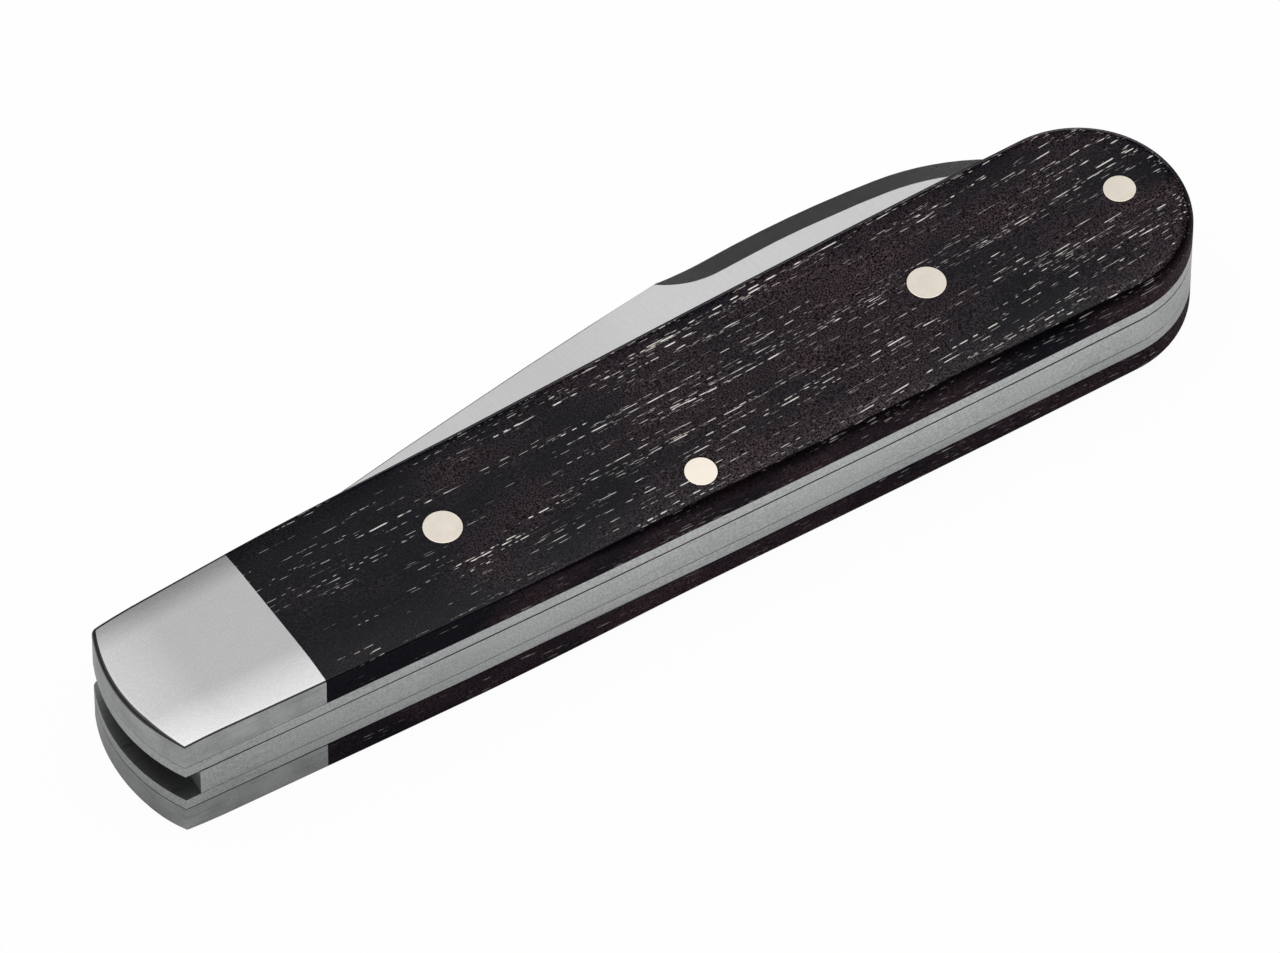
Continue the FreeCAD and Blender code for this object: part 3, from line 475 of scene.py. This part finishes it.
def brushedMetal(name, finish):
    material, tree, surface, ownPlace = newFinish(name)
    turned = turnedBy(tree, ownPlace, finish.get("turn", 0.0))
    inputs = {"Vector": turned, "Lines per metre": finish["lines"], "Deep share": finish["deep"]}
    lines = useGroup(tree, grindLines, inputs)["Tone"]
    patches = useGroup(tree, handledPatches, {"Vector": turned, "Patches per metre": finish["patches"]})
    tone = remap(tree, lines, *grinding["toneRange"], -finish["toneChange"], finish["toneChange"])
    tone = calc(tree, "ADD", tone, between(tree, patches["Patch"], 1.0 - finish["patchChange"], 1.0))
    tone = calc(tree, "ADD", tone, between(tree, patches["Speck"], -finish["speck"], finish["speck"]))
    # painted shade: the colour darkens towards one end along X
    if "paintedShadeRun" in finish:
        along = component(tree, ownPlace, "X")
        paintedShading = remap(tree, along, *finish["paintedShadeRun"], finish["paintedShadeTone"], 1.0, smooth=True)
        tone = calc(tree, "MULTIPLY", tone, paintedShading)
    connect(tree, scaleColour(tree, finish["colour"], tone), surface["Base Color"])
    surface["Metallic"].default_value = 1.0
    rough = remap(tree, lines, *grinding["toneRange"], *finish["roughness"])
    connect(tree, rough, surface["Roughness"])
    addBump(tree, lines, finish["bumpDepth"], 1.0, surface["Normal"])
    return material


bolsterTop = {
    "colour": (0.56, 0.56, 0.565), "lines": (900.0, 9000.0, 9000.0), "deep": 0.2,
    "patches": 160.0, "toneChange": 0.03, "patchChange": 0.03, "speck": 0.06,
    "roughness": (0.25, 0.31), "bumpDepth": 0.0002 * mm,
}
bolsterSide = {
    "colour": (0.41, 0.417, 0.421), "lines": (700.0, 700.0, 16000.0), "deep": 0.35,
    "patches": 420.0, "toneChange": 0.18, "patchChange": 0.22, "speck": 0.3,
    "roughness": (0.30, 0.42), "bumpDepth": 0.0010 * mm,
}
# painted shade: the arris is coloured nearly black, far darker than the bolster's metal
bolsterArrisShade = {
    "colour": (0.06, 0.06, 0.062), "lines": (3000.0, 3000.0, 3000.0), "deep": 0.2,
    "patches": 220.0, "toneChange": 0.05, "patchChange": 0.1, "speck": 0.05,
    "roughness": (0.22, 0.30), "bumpDepth": 0.0004 * mm,
}
groundEdge = {
    "colour": (0.60, 0.61, 0.615), "lines": (600.0, 600.0, 16000.0), "deep": 0.35,
    "patches": 140.0, "toneChange": 0.12, "patchChange": 0.08, "speck": 0.22,
    "roughness": (0.30, 0.42), "bumpDepth": 0.0010 * mm,
    "paintedShadeTone": 0.72, "paintedShadeRun": (-8 * mm, 40 * mm),  # painted shade: the ground edges are darker towards the nose
}
# painted shade: the broad inner faces, seen mostly in the slot, are coloured far darker than their steel
innerSteelShade = {
    "colour": (0.20, 0.204, 0.207), "lines": (900.0, 9000.0, 9000.0), "deep": 0.4,
    "patches": 90.0, "toneChange": 0.08, "patchChange": 0.15, "speck": 0.08,
    "roughness": (0.36, 0.5), "bumpDepth": 0.001 * mm,
}
bladeFlat = {
    "colour": (0.74, 0.74, 0.745), "turn": 10.5, "lines": (11000.0, 500.0, 500.0), "deep": 0.15,
    "patches": 110.0, "toneChange": 0.04, "patchChange": 0.03, "speck": 0.02,
    "roughness": (0.20, 0.24), "bumpDepth": 0.0001 * mm,
    "paintedShadeTone": 0.88, "paintedShadeRun": (32 * mm, 50 * mm),  # painted shade: the flat is darker towards the pivot and brighter towards the tip
}
pinFace = {
    "colour": (0.92, 0.84, 0.735), "turn": 12.0, "lines": (1500.0, 9000.0, 9000.0), "deep": 0.5,
    "patches": 700.0, "toneChange": 0.03, "patchChange": 0.06, "speck": 0.03,
    "roughness": (0.28, 0.36), "bumpDepth": 0.0004 * mm,
}
washerFace = {
    "colour": (0.60, 0.42, 0.16), "lines": (4000.0, 4000.0, 4000.0), "deep": 0.3,
    "patches": 300.0, "toneChange": 0.04, "patchChange": 0.1, "speck": 0.05,
    "roughness": (0.3, 0.42), "bumpDepth": 0.0006 * mm,
}

finishes = {
    "woodFace": darkWood("darkWood", woodFace),
    "woodEdge": darkWood("darkWoodEdgePaintedShade", woodEdge),
    "bolsterTop": brushedMetal("bolsterSatin", bolsterTop),
    "bolsterSide": brushedMetal("bolsterSide", bolsterSide),
    "bolsterArrisShade": brushedMetal("bolsterArrisShade", bolsterArrisShade),
    "groundEdge": brushedMetal("groundEdge", groundEdge),
    "innerSteelShade": brushedMetal("innerSteelShade", innerSteelShade),
    "bladeFlat": brushedMetal("bladeSteel", bladeFlat),
    "pinFace": brushedMetal("pinNickelSilver", pinFace),
    "washerFace": brushedMetal("washerBrass", washerFace),
}
print("finishes made:", len(finishes))


# the handle's outline, as the liners have it

handle = {
    "noseRadius": 14.0 * mm,
    "backAtNose": 6.8 * mm,
    "mouthAtNose": 5.9 * mm,
    "noseCorner": 0.6 * mm,  # rounding where the nose meets the mouth
    "backRadius": 2000.0 * mm,
    "mouthRadius": 1650.0 * mm,
    "buttRadius": 8.4 * mm,
    "backAtButt": 6.8 * mm,
    "jointSlant": 0.6 * mm,  # the joint's end at the mouth lies nearer the nose
    "stepsAlong": 48,
    "stepsRound": 56,
}
noseEnd, buttEnd = (corner.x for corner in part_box("front_liner"))
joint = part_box("front_bolster")[1].x
noseCentre = Vector((noseEnd + handle["noseRadius"], 0.0))
buttCentre = Vector((buttEnd - handle["buttRadius"], handle["buttRadius"] - handle["backAtButt"]))


def nosePoint(rise):
    return Vector((noseCentre.x - math.sqrt(handle["noseRadius"] ** 2 - rise ** 2), rise))


def longArcCentre(corner, radius, side):
    # centre of the long arc from a nose corner that runs smoothly into the butt's round
    step = buttCentre - corner
    reach = radius - handle["buttRadius"]
    along = (radius ** 2 - reach ** 2 + step.length_squared) / (2 * step.length)
    across = math.sqrt(radius ** 2 - along ** 2) * side
    step.normalize()
    return corner + step * along + Vector((-step.y, step.x)) * across


backCentre = longArcCentre(nosePoint(-handle["backAtNose"]), handle["backRadius"], 1)
mouthCentre = longArcCentre(nosePoint(handle["mouthAtNose"]), handle["mouthRadius"], -1)


def backAt(x):
    return backCentre.y - math.sqrt(handle["backRadius"] ** 2 - (x - backCentre.x) ** 2)


def mouthAt(x):
    return mouthCentre.y + math.sqrt(handle["mouthRadius"] ** 2 - (x - mouthCentre.x) ** 2)


def jointAt(y):
    back, mouth = backAt(joint), mouthAt(joint)
    return joint - handle["jointSlant"] * (y - back) / (mouth - back)


def arcSteps(centre, radius, first, last, count):
    # points on an arc with their outward directions
    for i in range(count + 1):
        turn = first + (last - first) * i / count
        outward = Vector((math.cos(turn), math.sin(turn)))
        yield centre + outward * radius, outward


def angleFrom(centre, point):
    return math.atan2(point.y - centre.y, point.x - centre.x)


def scaleOutline():
    # from the joint along the back, round the butt and along the mouth to the joint again
    backTurn = angleFrom(backCentre, buttCentre)
    mouthTurn = angleFrom(mouthCentre, buttCentre)
    along, around = handle["stepsAlong"], handle["stepsRound"]
    start = angleFrom(backCentre, Vector((joint, backAt(joint))))
    mouthJoint = jointAt(mouthAt(joint))
    end = angleFrom(mouthCentre, Vector((mouthJoint, mouthAt(mouthJoint))))
    steps = list(arcSteps(backCentre, handle["backRadius"], start, backTurn, along))
    steps += list(arcSteps(buttCentre, handle["buttRadius"], backTurn, mouthTurn, around))[1:]
    steps += list(arcSteps(mouthCentre, handle["mouthRadius"], mouthTurn, end, along))[1:]
    # both ends follow the slanting joint
    lean = handle["jointSlant"] / (mouthAt(joint) - backAt(joint))
    steps[0] = (steps[0][0], Vector((lean, -1.0)))
    steps[-1] = (steps[-1][0], Vector((-lean, 1.0)))
    return steps


# helpers for meshes

def newPiece(name, mesh):
    piece = bpy.data.objects.new(name, mesh)
    scene.collection.objects.link(piece)
    return piece


def toMesh(work, name):
    bmesh.ops.recalc_face_normals(work, faces=work.faces)
    mesh = bpy.data.meshes.new(name)
    work.to_mesh(mesh)
    work.free()
    return mesh


def settle(piece):
    # the modifiers' result becomes the piece's own plain mesh
    bpy.context.view_layer.update()
    evaluated = piece.evaluated_get(bpy.context.evaluated_depsgraph_get())
    mesh = bpy.data.meshes.new_from_object(evaluated)
    piece.modifiers.clear()
    piece.data = mesh
    mesh.name = piece.name
    return mesh


def cutAway(piece, cutter):
    cut = piece.modifiers.new("cut", "BOOLEAN")
    cut.operation = "DIFFERENCE"
    cut.solver = "EXACT"
    cut.object = cutter
    settle(piece)


def softenEdges(piece, width, segments, sharpFrom=None):
    # bevels the edges sharper than an angle, or without one those that are marked with a weight
    soften = piece.modifiers.new("soften", "BEVEL")
    soften.width = width
    soften.segments = segments
    soften.limit_method = "ANGLE" if sharpFrom else "WEIGHT"
    if sharpFrom:
        soften.angle_limit = math.radians(sharpFrom)
    soften.use_clamp_overlap = False
    soften.harden_normals = True
    settle(piece)


def shadeByAngle(piece, degrees):
    piece.data.shade_smooth()
    piece.data.set_sharp_from_angle(angle=math.radians(degrees))


def joinColumns(work, columns, split, before, after):
    # faces between neighbouring columns of points, with one material before a level and another after it
    for left, right in zip(columns, columns[1:]):
        for level in range(len(left) - 1):
            face = work.faces.new((left[level], right[level], right[level + 1], left[level + 1]))
            face.material_index = before if level < split else after


# the scales' crown and rolled edge

scaleShape = {
    "backRollAtJoint": 0.15 * mm,
    "mouthRollAtJoint": 0.3 * mm,
    "roll": 1.25 * mm,
    "backRollFrom": 17.0 * mm,  # where the edge's round starts to grow
    "mouthRollFrom": 5.6 * mm,
    "rollRun": 24.0 * mm,
    "rollSteps": 14,
    "edgeSteps": 9,  # how many of them, from the wall up, have the edge's less glossy finish and its painted shade
    "paintedShadeFrom": 50.0,  # degrees of tilt, up to which the painted shade on the rolled edge is deepest
    "backReach": 3.5 * mm,  # from the outline to the flat middle
    "mouthReach": 2.6 * mm,
    "crownRadius": 18.0 * mm,
    "crownSteps": 8,
    "flatMargin": 0.12 * mm,  # a narrow flat ring that keeps the middle's shading level
    "edgeBreak": 0.05 * mm,
    "sharpFrom": 32.0,
}


def fallPast(distance, radius):
    return radius - math.sqrt(radius ** 2 - max(0.0, distance) ** 2)


def byFacing(size, facing):
    # a size of the edge, by how far the outline looks to the mouth (1) or the back (-1)
    back, mouth = scaleShape["back" + size], scaleShape["mouth" + size]
    return (back + mouth) / 2 + (mouth - back) / 2 * facing


def crownAt(x, y):
    # how much lower the crowned wood is at a place, and its slope there
    fromBack, fromMouth = y - backAt(x), mouthAt(x) - y
    facing = 1.0 if fromMouth < fromBack else -1.0
    past = byFacing("Reach", facing) - min(fromBack, fromMouth) if x > joint else 0.0
    slope = max(0.0, past) / scaleShape["crownRadius"]
    return fallPast(past, scaleShape["crownRadius"]), -slope * facing


def rollAt(x, facing):
    share = min(1.0, max(0.0, (x - byFacing("RollFrom", facing)) / scaleShape["rollRun"]))
    share = share * share * (3 - 2 * share)
    least = byFacing("RollAtJoint", facing)
    return least + (scaleShape["roll"] - least) * share


def edgeLine(x, facing):
    # the scale's section at its edge, as insets, drops and shares of uprightness that lift the painted
    # shade: the edge's round from the wall up, then the crown
    roll, crown, reach = rollAt(x, facing), scaleShape["crownRadius"], byFacing("Reach", facing)
    start = roll * (1 - reach / crown) / (1 - roll / crown)
    tilt = math.asin((reach - start) / crown)
    deepestShadeTilt = math.radians(scaleShape["paintedShadeFrom"])
    line = []
    for i in range(scaleShape["rollSteps"] + 1):
        turn = math.pi / 2 + (tilt - math.pi / 2) * i / scaleShape["rollSteps"]
        drop = fallPast(reach - start, crown) + roll * (math.cos(tilt) - math.cos(turn))
        # how far the painted shade is lifted: none up to its deepest tilt, fully on the upright wall
        upright = max(0.0, (turn - deepestShadeTilt) / (math.pi / 2 - deepestShadeTilt))
        line.append((roll * (1 - math.sin(turn)), drop, upright))
    for i in range(1, scaleShape["crownSteps"] + 1):
        inset = start + (reach - start) * i / scaleShape["crownSteps"]
        line.append((inset, fallPast(reach - inset, crown), 0.0))
    line.append((reach + scaleShape["flatMargin"], 0.0, 0.0))
    return line


# flush pins and rivets, turned by one node tree that also makes their holes

pins = {
    "segments": 56,
    "spread": 0.3 * mm,  # the riveted inner end of a short pin
    "clearance": 0.035 * mm,
    "overrun": 1.0 * mm,
    "rim": 0.05 * mm,
    "rimSegments": 2,
    "rimFrom": 50.0,  # degrees, from which an edge counts as a rim
    "sharpFrom": 40.0,
    "endFrom": 0.5,  # from this share of the bar's half length, a point belongs to an end
    "hidden": 0.02 * mm,  # how far the bolsters' pins stay under the faces that cover them
}
scalePinNodes = ["spring_middle_pin", "spring_butt_pin"]
bolsterPinNodes = ["pivot_pin"]
for side in sides:
    scalePinNodes += [f"{side}_scale_rivet_{end}" for end in ("fore", "aft")]
    bolsterPinNodes += [f"{side}_bolster_rivet_{end}" for end in ("upper", "lower")]


def makePinTree():
    tree = bpy.data.node_groups.new("flushPins", "GeometryNodeTree")
    wanted = {"Geometry": "Geometry", "Segments": "Int", "Grow": "Float", "Overrun": "Float",
              "Material": "Material"}
    for label, kind in wanted.items():
        tree.interface.new_socket(name=label, in_out="INPUT", socket_type="NodeSocket" + kind)
    tree.interface.new_socket(name="Geometry", in_out="OUTPUT", socket_type="NodeSocketGeometry")
    given = tree.nodes.new("NodeGroupInput").outputs

    def read(name, kind="FLOAT"):
        node = place(tree, "GeometryNodeInputNamedAttribute", {"Name": name}, data_type=kind)
        return node.outputs["Attribute"]

    # a plain round bar of unit size, whose own place is kept with it
    inputs = {"Vertices": given["Segments"], "Side Segments": 2, "Radius": 1.0, "Depth": 2.0}
    bar = place(tree, "GeometryNodeMeshCylinder", inputs).outputs["Mesh"]
    ownPlace = tree.nodes.new("GeometryNodeInputPosition").outputs[0]
    kept = place(tree, "GeometryNodeStoreNamedAttribute",
                 {"Geometry": bar, "Name": "barPlace", "Value": ownPlace},
                 data_type="FLOAT_VECTOR", domain="POINT")
    bars = place(tree, "GeometryNodeInstanceOnPoints",
                 {"Points": given["Geometry"], "Instance": kept.outputs["Geometry"]})
    real = place(tree, "GeometryNodeRealizeInstances", {"Geometry": bars.outputs[0]})
    # each point is drawn out to its pin's radius and levels, and the inner end is spread
    across = place(tree, "ShaderNodeSeparateXYZ", {0: read("barPlace", "FLOAT_VECTOR")}).outputs
    isInner = calc(tree, "LESS_THAN", across["Z"], -pins["endFrom"])
    isOuter = calc(tree, "GREATER_THAN", across["Z"], pins["endFrom"])
    isNeck = calc(tree, "SUBTRACT", calc(tree, "SUBTRACT", 1.0, isInner), isOuter)
    spread = calc(tree, "MULTIPLY", read("spread"), isInner)
    radius = calc(tree, "ADD", calc(tree, "ADD", read("radius"), given["Grow"]), spread)
    span = calc(tree, "SUBTRACT", read("outer"), read("inner"))
    way = calc(tree, "SIGN", span)
    overrun = calc(tree, "MULTIPLY", way, given["Overrun"])
    inner = calc(tree, "SUBTRACT", read("inner"), overrun)
    outer = calc(tree, "ADD", read("outer"), overrun)
    neck = calc(tree, "ADD", inner, calc(tree, "MULTIPLY", way, read("neck")))
    # both ends lie flush in the crowned wood
    leaning = calc(tree, "MULTIPLY", calc(tree, "MULTIPLY", across["Y"], radius), read("lean"))
    fall = calc(tree, "MULTIPLY", way, calc(tree, "SUBTRACT", read("sink"), leaning))
    inner = calc(tree, "ADD", inner, fall)
    outer = calc(tree, "SUBTRACT", outer, fall)
    level = calc(tree, "MULTIPLY", inner, isInner)
    level = calc(tree, "MULTIPLY_ADD", outer, isOuter, level)
    level = calc(tree, "MULTIPLY_ADD", neck, isNeck, level)
    x = calc(tree, "MULTIPLY_ADD", across["X"], radius, read("alongX"))
    y = calc(tree, "MULTIPLY_ADD", across["Y"], radius, read("alongY"))
    drawn = place(tree, "ShaderNodeCombineXYZ", {"X": x, "Y": y, "Z": level}).outputs[0]
    moved = place(tree, "GeometryNodeSetPosition", {"Geometry": real.outputs[0], "Position": drawn})
    dressed = place(tree, "GeometryNodeSetMaterial",
                    {"Geometry": moved.outputs[0], "Material": given["Material"]})
    place(tree, "NodeGroupOutput", {"Geometry": dressed.outputs[0]})
    return tree


pinTree = makePinTree()


def turnPins(name, nodes, finish, grow=0.0, overrun=0.0):
    # one point per pin carries its sizes, read from the pin's own node
    points = []
    middle = (cadBox[0].z + cadBox[1].z) / 2
    for node in nodes:
        low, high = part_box(node)
        through = low.z < middle < high.z
        spread = 0.0 if through else pins["spread"]
        front = high.z > middle
        x, y = (low.x + high.x) / 2, (low.y + high.y) / 2
        radius = (high.x - low.x) / 2 - spread
        drop, lean = crownAt(x, y)
        points.append({
            "alongX": x, "alongY": y, "radius": radius, "spread": spread,
            "neck": spread if spread else (high.z - low.z) / 2,
            "inner": low.z if front else high.z, "outer": high.z if front else low.z,
            "sink": drop + radius * abs(lean), "lean": lean})
    mesh = bpy.data.meshes.new(name)
    mesh.from_pydata([(0, 0, 0)] * len(nodes), [], [])
    for key in points[0]:
        numbers = [point[key] for point in points]
        mesh.attributes.new(key, "FLOAT", "POINT").data.foreach_set("value", numbers)
    piece = newPiece(name, mesh)
    turning = piece.modifiers.new("flushPins", "NODES")
    turning.node_group = pinTree
    wanted = {"Segments": pins["segments"], "Grow": grow, "Overrun": overrun, "Material": finish}
    for item in pinTree.interface.items_tree:
        if item.in_out == "INPUT" and item.name in wanted:
            turning[item.identifier] = wanted[item.name]
    made = settle(piece)
    work = bmesh.new()
    work.from_mesh(made)
    bmesh.ops.recalc_face_normals(work, faces=work.faces)
    work.to_mesh(made)
    work.free()
    for key in list(points[0]) + ["barPlace"]:
        if key in made.attributes:
            made.attributes.remove(made.attributes[key])
    return piece


def makePins(name, nodes, finish, overrun=0.0):
    piece = turnPins(name, nodes, finish, overrun=overrun)
    shadeByAngle(piece, pins["sharpFrom"])
    softenEdges(piece, pins["rim"], pins["rimSegments"], pins["rimFrom"])
    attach(piece, "handle")
    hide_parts(*nodes)


def drillFor(piece, nodes):
    cutter = turnPins(piece.name + "Holes", nodes, None, pins["clearance"], pins["overrun"])
    cutAway(piece, cutter)
    bpy.data.objects.remove(cutter)


# scales: crowned plates of wood

def makeScale(side):
    low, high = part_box(f"{side}_scale")
    outer, inner = (high.z, low.z) if side == "front" else (low.z, high.z)
    inwards = 1.0 if inner > outer else -1.0
    thickness = high.z - low.z
    work = bmesh.new()
    uprightLayer = work.verts.layers.float.new("upright")
    wall = [(scaleShape["edgeBreak"], thickness, 1.0), (0.0, thickness - scaleShape["edgeBreak"], 1.0)]
    columns = []
    for point, outward in scaleOutline():
        column = []
        for inset, drop, upright in wall + edgeLine(point.x, outward.y):
            spot = point - outward * inset
            column.append(work.verts.new((spot.x, spot.y, outer + inwards * drop)))
            column[-1][uprightLayer] = upright
        columns.append(column)
    joinColumns(work, columns, len(wall) + scaleShape["edgeSteps"], 1, 0)
    work.faces.new([column[-1] for column in columns])
    work.faces.new([column[0] for column in columns]).material_index = 1
    work.faces.new(columns[0] + columns[-1][::-1]).material_index = 1
    piece = newPiece(side + "Scale", toMesh(work, side + "Scale"))
    for name in ("woodFace", "woodEdge"):
        piece.data.materials.append(finishes[name])
    drillFor(piece, [node for node in scalePinNodes if side in node or "spring" in node])
    shadeByAngle(piece, scaleShape["sharpFrom"])
    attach(piece, "handle")
    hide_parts(f"{side}_scale")


for side in sides:
    makeScale(side)
print("scales made")


# bolsters: crowned caps over the pivot

bolsterShape = {
    "noseRun": 5.4 * mm,
    "noseRadius": 36.0 * mm,
    "flat": 3.4 * mm,  # from the pivot towards the back
    "mouthReach": 2.65 * mm,  # from the mouth's edge to the flat middle
    "sideRadius": 18.0 * mm,
    "steps": 44,
    "cornerSteps": 8,
    "noseArris": 0.30 * mm,
    "backArris": 0.10 * mm,
    "mouthArris": 0.26 * mm,
    "arrisFade": 3.5 * mm,  # the run over which the nose's arris narrows to the back's
    "arrisSteps": 7,
    "sharpFrom": 35.0,
}


def crownFall(spot):
    fromNose = fallPast(noseEnd + bolsterShape["noseRun"] - spot.x, bolsterShape["noseRadius"])
    pastBack = -spot.y - bolsterShape["flat"]
    pastMouth = spot.y - mouthAt(spot.x) + bolsterShape["mouthReach"]
    return fromNose + fallPast(max(pastBack, pastMouth), bolsterShape["sideRadius"])


def noseLine():
    # from the back's corner across the nose and round the mouth's corner: points on the outline, each with
    # the one where its arris begins
    rounding = handle["noseCorner"]
    centre = Vector((0.0, handle["mouthAtNose"] - rounding))
    reach = handle["noseRadius"] - rounding
    centre.x = noseCentre.x - math.sqrt(reach ** 2 - centre.y ** 2)
    touch = centre.y * handle["noseRadius"] / reach
    first = math.pi + math.asin(handle["backAtNose"] / handle["noseRadius"])
    last = math.pi - math.asin(touch / handle["noseRadius"])
    line = list(arcSteps(noseCentre, handle["noseRadius"], first, last, bolsterShape["steps"]))
    line += list(arcSteps(centre, rounding, last, math.pi / 2, bolsterShape["cornerSteps"]))[1:]
    points = []
    for point, outward in line:
        fade = min(1.0, (point.y + handle["backAtNose"]) / bolsterShape["arrisFade"])
        arris = bolsterShape["backArris"] + (bolsterShape["noseArris"] - bolsterShape["backArris"]) * fade
        points.append((point, point - outward * arris))
    # at the back's corner the two arrises meet
    corner = points[0][1]
    corner.y = bolsterShape["backArris"] - handle["backAtNose"]
    reach = handle["noseRadius"] - bolsterShape["backArris"]
    corner.x = noseCentre.x - math.sqrt(reach ** 2 - corner.y ** 2)
    return points


def bolsterGrid():
    # the crown's points in rows from the nose to the joint, inside the arris
    points = noseLine()
    low, high = points[0][1].y, points[-1][1].y
    count = bolsterShape["steps"]

    def crownPoint(x, share):
        lower = backAt(x) + bolsterShape["backArris"]
        upper = mouthAt(x) - bolsterShape["mouthArris"]
        return Vector((x, lower + (upper - lower) * share))

    rows = []
    for point, start in points:
        share = (start.y - low) / (high - low)
        end = jointAt(crownPoint(joint, share).y)
        row = [crownPoint(start.x + (end - start.x) * i / count, share) for i in range(count + 1)]
        settled = start.y - row[0].y
        for i, spot in enumerate(row):
            spot.y += settled * (1 - i / count)
        rows.append(row)
    return rows, [point for point, start in points]


def arrisLine(inside, outside):
    # points on the arris and their drops; it leaves the crown smoothly and ends upright
    run = (outside - inside).length
    tilt = math.atan((crownFall(outside) - crownFall(inside)) / run)
    radius = run / (1 - math.sin(tilt))
    for i in range(1, bolsterShape["arrisSteps"] + 1):
        turn = tilt + (math.pi / 2 - tilt) * i / bolsterShape["arrisSteps"]
        way = (math.sin(turn) - math.sin(tilt)) / (1 - math.sin(tilt))
        yield inside + (outside - inside) * way, radius * (math.cos(tilt) - math.cos(turn))


def makeBolster(side):
    low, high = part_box(f"{side}_bolster")
    outer, inner = (high.z, low.z) if side == "front" else (low.z, high.z)
    inwards = 1.0 if inner > outer else -1.0
    rows, nose = bolsterGrid()
    work = bmesh.new()

    def addPoint(spot, drop):
        return work.verts.new((spot.x, spot.y, outer + inwards * drop))

    crown = [[addPoint(spot, crownFall(spot)) for spot in row] for row in rows]
    for lower, upper in zip(crown, crown[1:]):
        for i in range(len(lower) - 1):
            work.faces.new((lower[i], lower[i + 1], upper[i + 1], upper[i]))
    # round the rim from the joint along the back, over the nose and along the mouth
    backRow = list(zip(rows[0], crown[0]))
    mouthRow = list(zip(rows[-1], crown[-1]))
    rim = [(spot, Vector((spot.x, backAt(spot.x))), point) for spot, point in backRow[:0:-1]]
    rim += [(row[0], outside, points[0]) for row, outside, points in zip(rows, nose, crown)]
    rim += [(spot, Vector((spot.x, mouthAt(spot.x))), point) for spot, point in mouthRow[1:]]
    columns = []
    for inside, outside, point in rim:
        column = [point]
        for spot, drop in arrisLine(inside, outside):
            column.append(addPoint(spot, crownFall(inside) + drop))
        column.append(addPoint(outside, abs(inner - outer)))
        columns.append(column)
    joinColumns(work, columns, bolsterShape["arrisSteps"], 2, 1)
    work.faces.new([column[-1] for column in columns]).material_index = 1
    ends = [row[-1] for row in crown[1:-1]] + columns[-1] + columns[0][::-1]
    work.faces.new(ends).material_index = 1
    piece = newPiece(side + "Bolster", toMesh(work, side + "Bolster"))
    for name in ("bolsterTop", "bolsterSide", "bolsterArrisShade"):
        piece.data.materials.append(finishes[name])
    shadeByAngle(piece, bolsterShape["sharpFrom"])
    piece.modifiers.new("evenShading", "WEIGHTED_NORMAL").keep_sharp = True
    settle(piece)
    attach(piece, "handle")
    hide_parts(f"{side}_bolster")


for side in sides:
    makeBolster(side)
print("bolsters made")


# machined pieces keep their nodes' shapes, with the sharp edges broken

machining = {
    "weld": 0.0005 * mm,
    "flatness": 0.6,  # degrees, under which neighbouring faces are one
    "edgeBreak": 0.03 * mm,
    "breakSegments": 3,
    "hairline": 0.07 * mm,  # play that shows as a dark line on each side of a liner
    "springHairline": 0.045 * mm,
    "springSink": 0.045 * mm,  # the spring sits against the rear liner
    "breakFrom": 40.0,  # degrees, from which an edge is broken
    "sharpFrom": 30.0,  # degrees, from which an edge is shaded sharp
    "crease": 3.0,  # the same beside a broad face
    "broadFace": 4.0 * mm * mm,
    "spineBreak": 0.14 * mm,
    "levelFace": 0.99,
    "facing": 0.5,
}


def machinedCopy(name, node, body, materials, slim=0.0, sink=0.0, spineBreak=0.0):
    work = bmesh.new()
    work.from_mesh(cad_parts[node].data)
    bmesh.ops.remove_doubles(work, verts=work.verts, dist=machining["weld"])
    bmesh.ops.dissolve_limit(work, angle_limit=math.radians(machining["flatness"]),
                             verts=work.verts, edges=work.edges)
    low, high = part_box(node)
    middle = (low.z + high.z) / 2
    for point in work.verts:
        point.co.z = middle - sink + (point.co.z - middle) * (1 - 2 * slim / (high.z - low.z))
    crease = math.radians(machining["crease"])
    sharp = math.radians(machining["sharpFrom"])
    broken = math.radians(machining["breakFrom"])
    weight = work.edges.layers.float.new("bevel_weight_edge")
    for edge in work.edges:
        if len(edge.link_faces) != 2:
            continue
        angle = edge.calc_face_angle(0.0)
        broad = max(face.calc_area() for face in edge.link_faces) > machining["broadFace"]
        edge.smooth = not (angle > sharp or (broad and angle > crease))
        looksOut = max(face.normal.y for face in edge.link_faces) > machining["facing"]
        isLevel = max(abs(face.normal.z) for face in edge.link_faces) > machining["levelFace"]
        width = max(spineBreak, machining["edgeBreak"]) if looksOut and isLevel else machining["edgeBreak"]
        edge[weight] = width / machining["spineBreak"] if angle > broken else 0.0
    for face in work.faces:
        face.smooth = True
        face.normal_update()
        face.material_index = 1 if abs(face.normal.z) > machining["facing"] else 0
    mesh = bpy.data.meshes.new(name)
    work.to_mesh(mesh)
    work.free()
    if "custom_normal" in mesh.attributes:
        mesh.attributes.remove(mesh.attributes["custom_normal"])
    for material in materials:
        mesh.materials.append(finishes[material])
    piece = newPiece(name, mesh)
    softenEdges(piece, machining["spineBreak"], machining["breakSegments"])
    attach(piece, body)
    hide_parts(node)


for side in sides:
    machinedCopy(side + "Liner", f"{side}_liner", "handle", ("groundEdge", "innerSteelShade"),
                 machining["hairline"])
machinedCopy("backSpring", "backspring", "handle", ("groundEdge", "innerSteelShade"),
             machining["springHairline"], machining["springSink"])
machinedCopy("knifeBlade", "blade", "blade", ("groundEdge", "bladeFlat"),
             spineBreak=machining["spineBreak"])
makePins("scalePins", scalePinNodes, finishes["pinFace"])
makePins("bolsterPins", bolsterPinNodes, finishes["bolsterTop"], -pins["hidden"])
for side in sides:
    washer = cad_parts[f"{side}_pivot_washer"].data
    washer.materials.clear()
    washer.materials.append(finishes["washerFace"])
print("liners, spring, blade and pins made")


scene.view_settings.view_transform = "Standard"
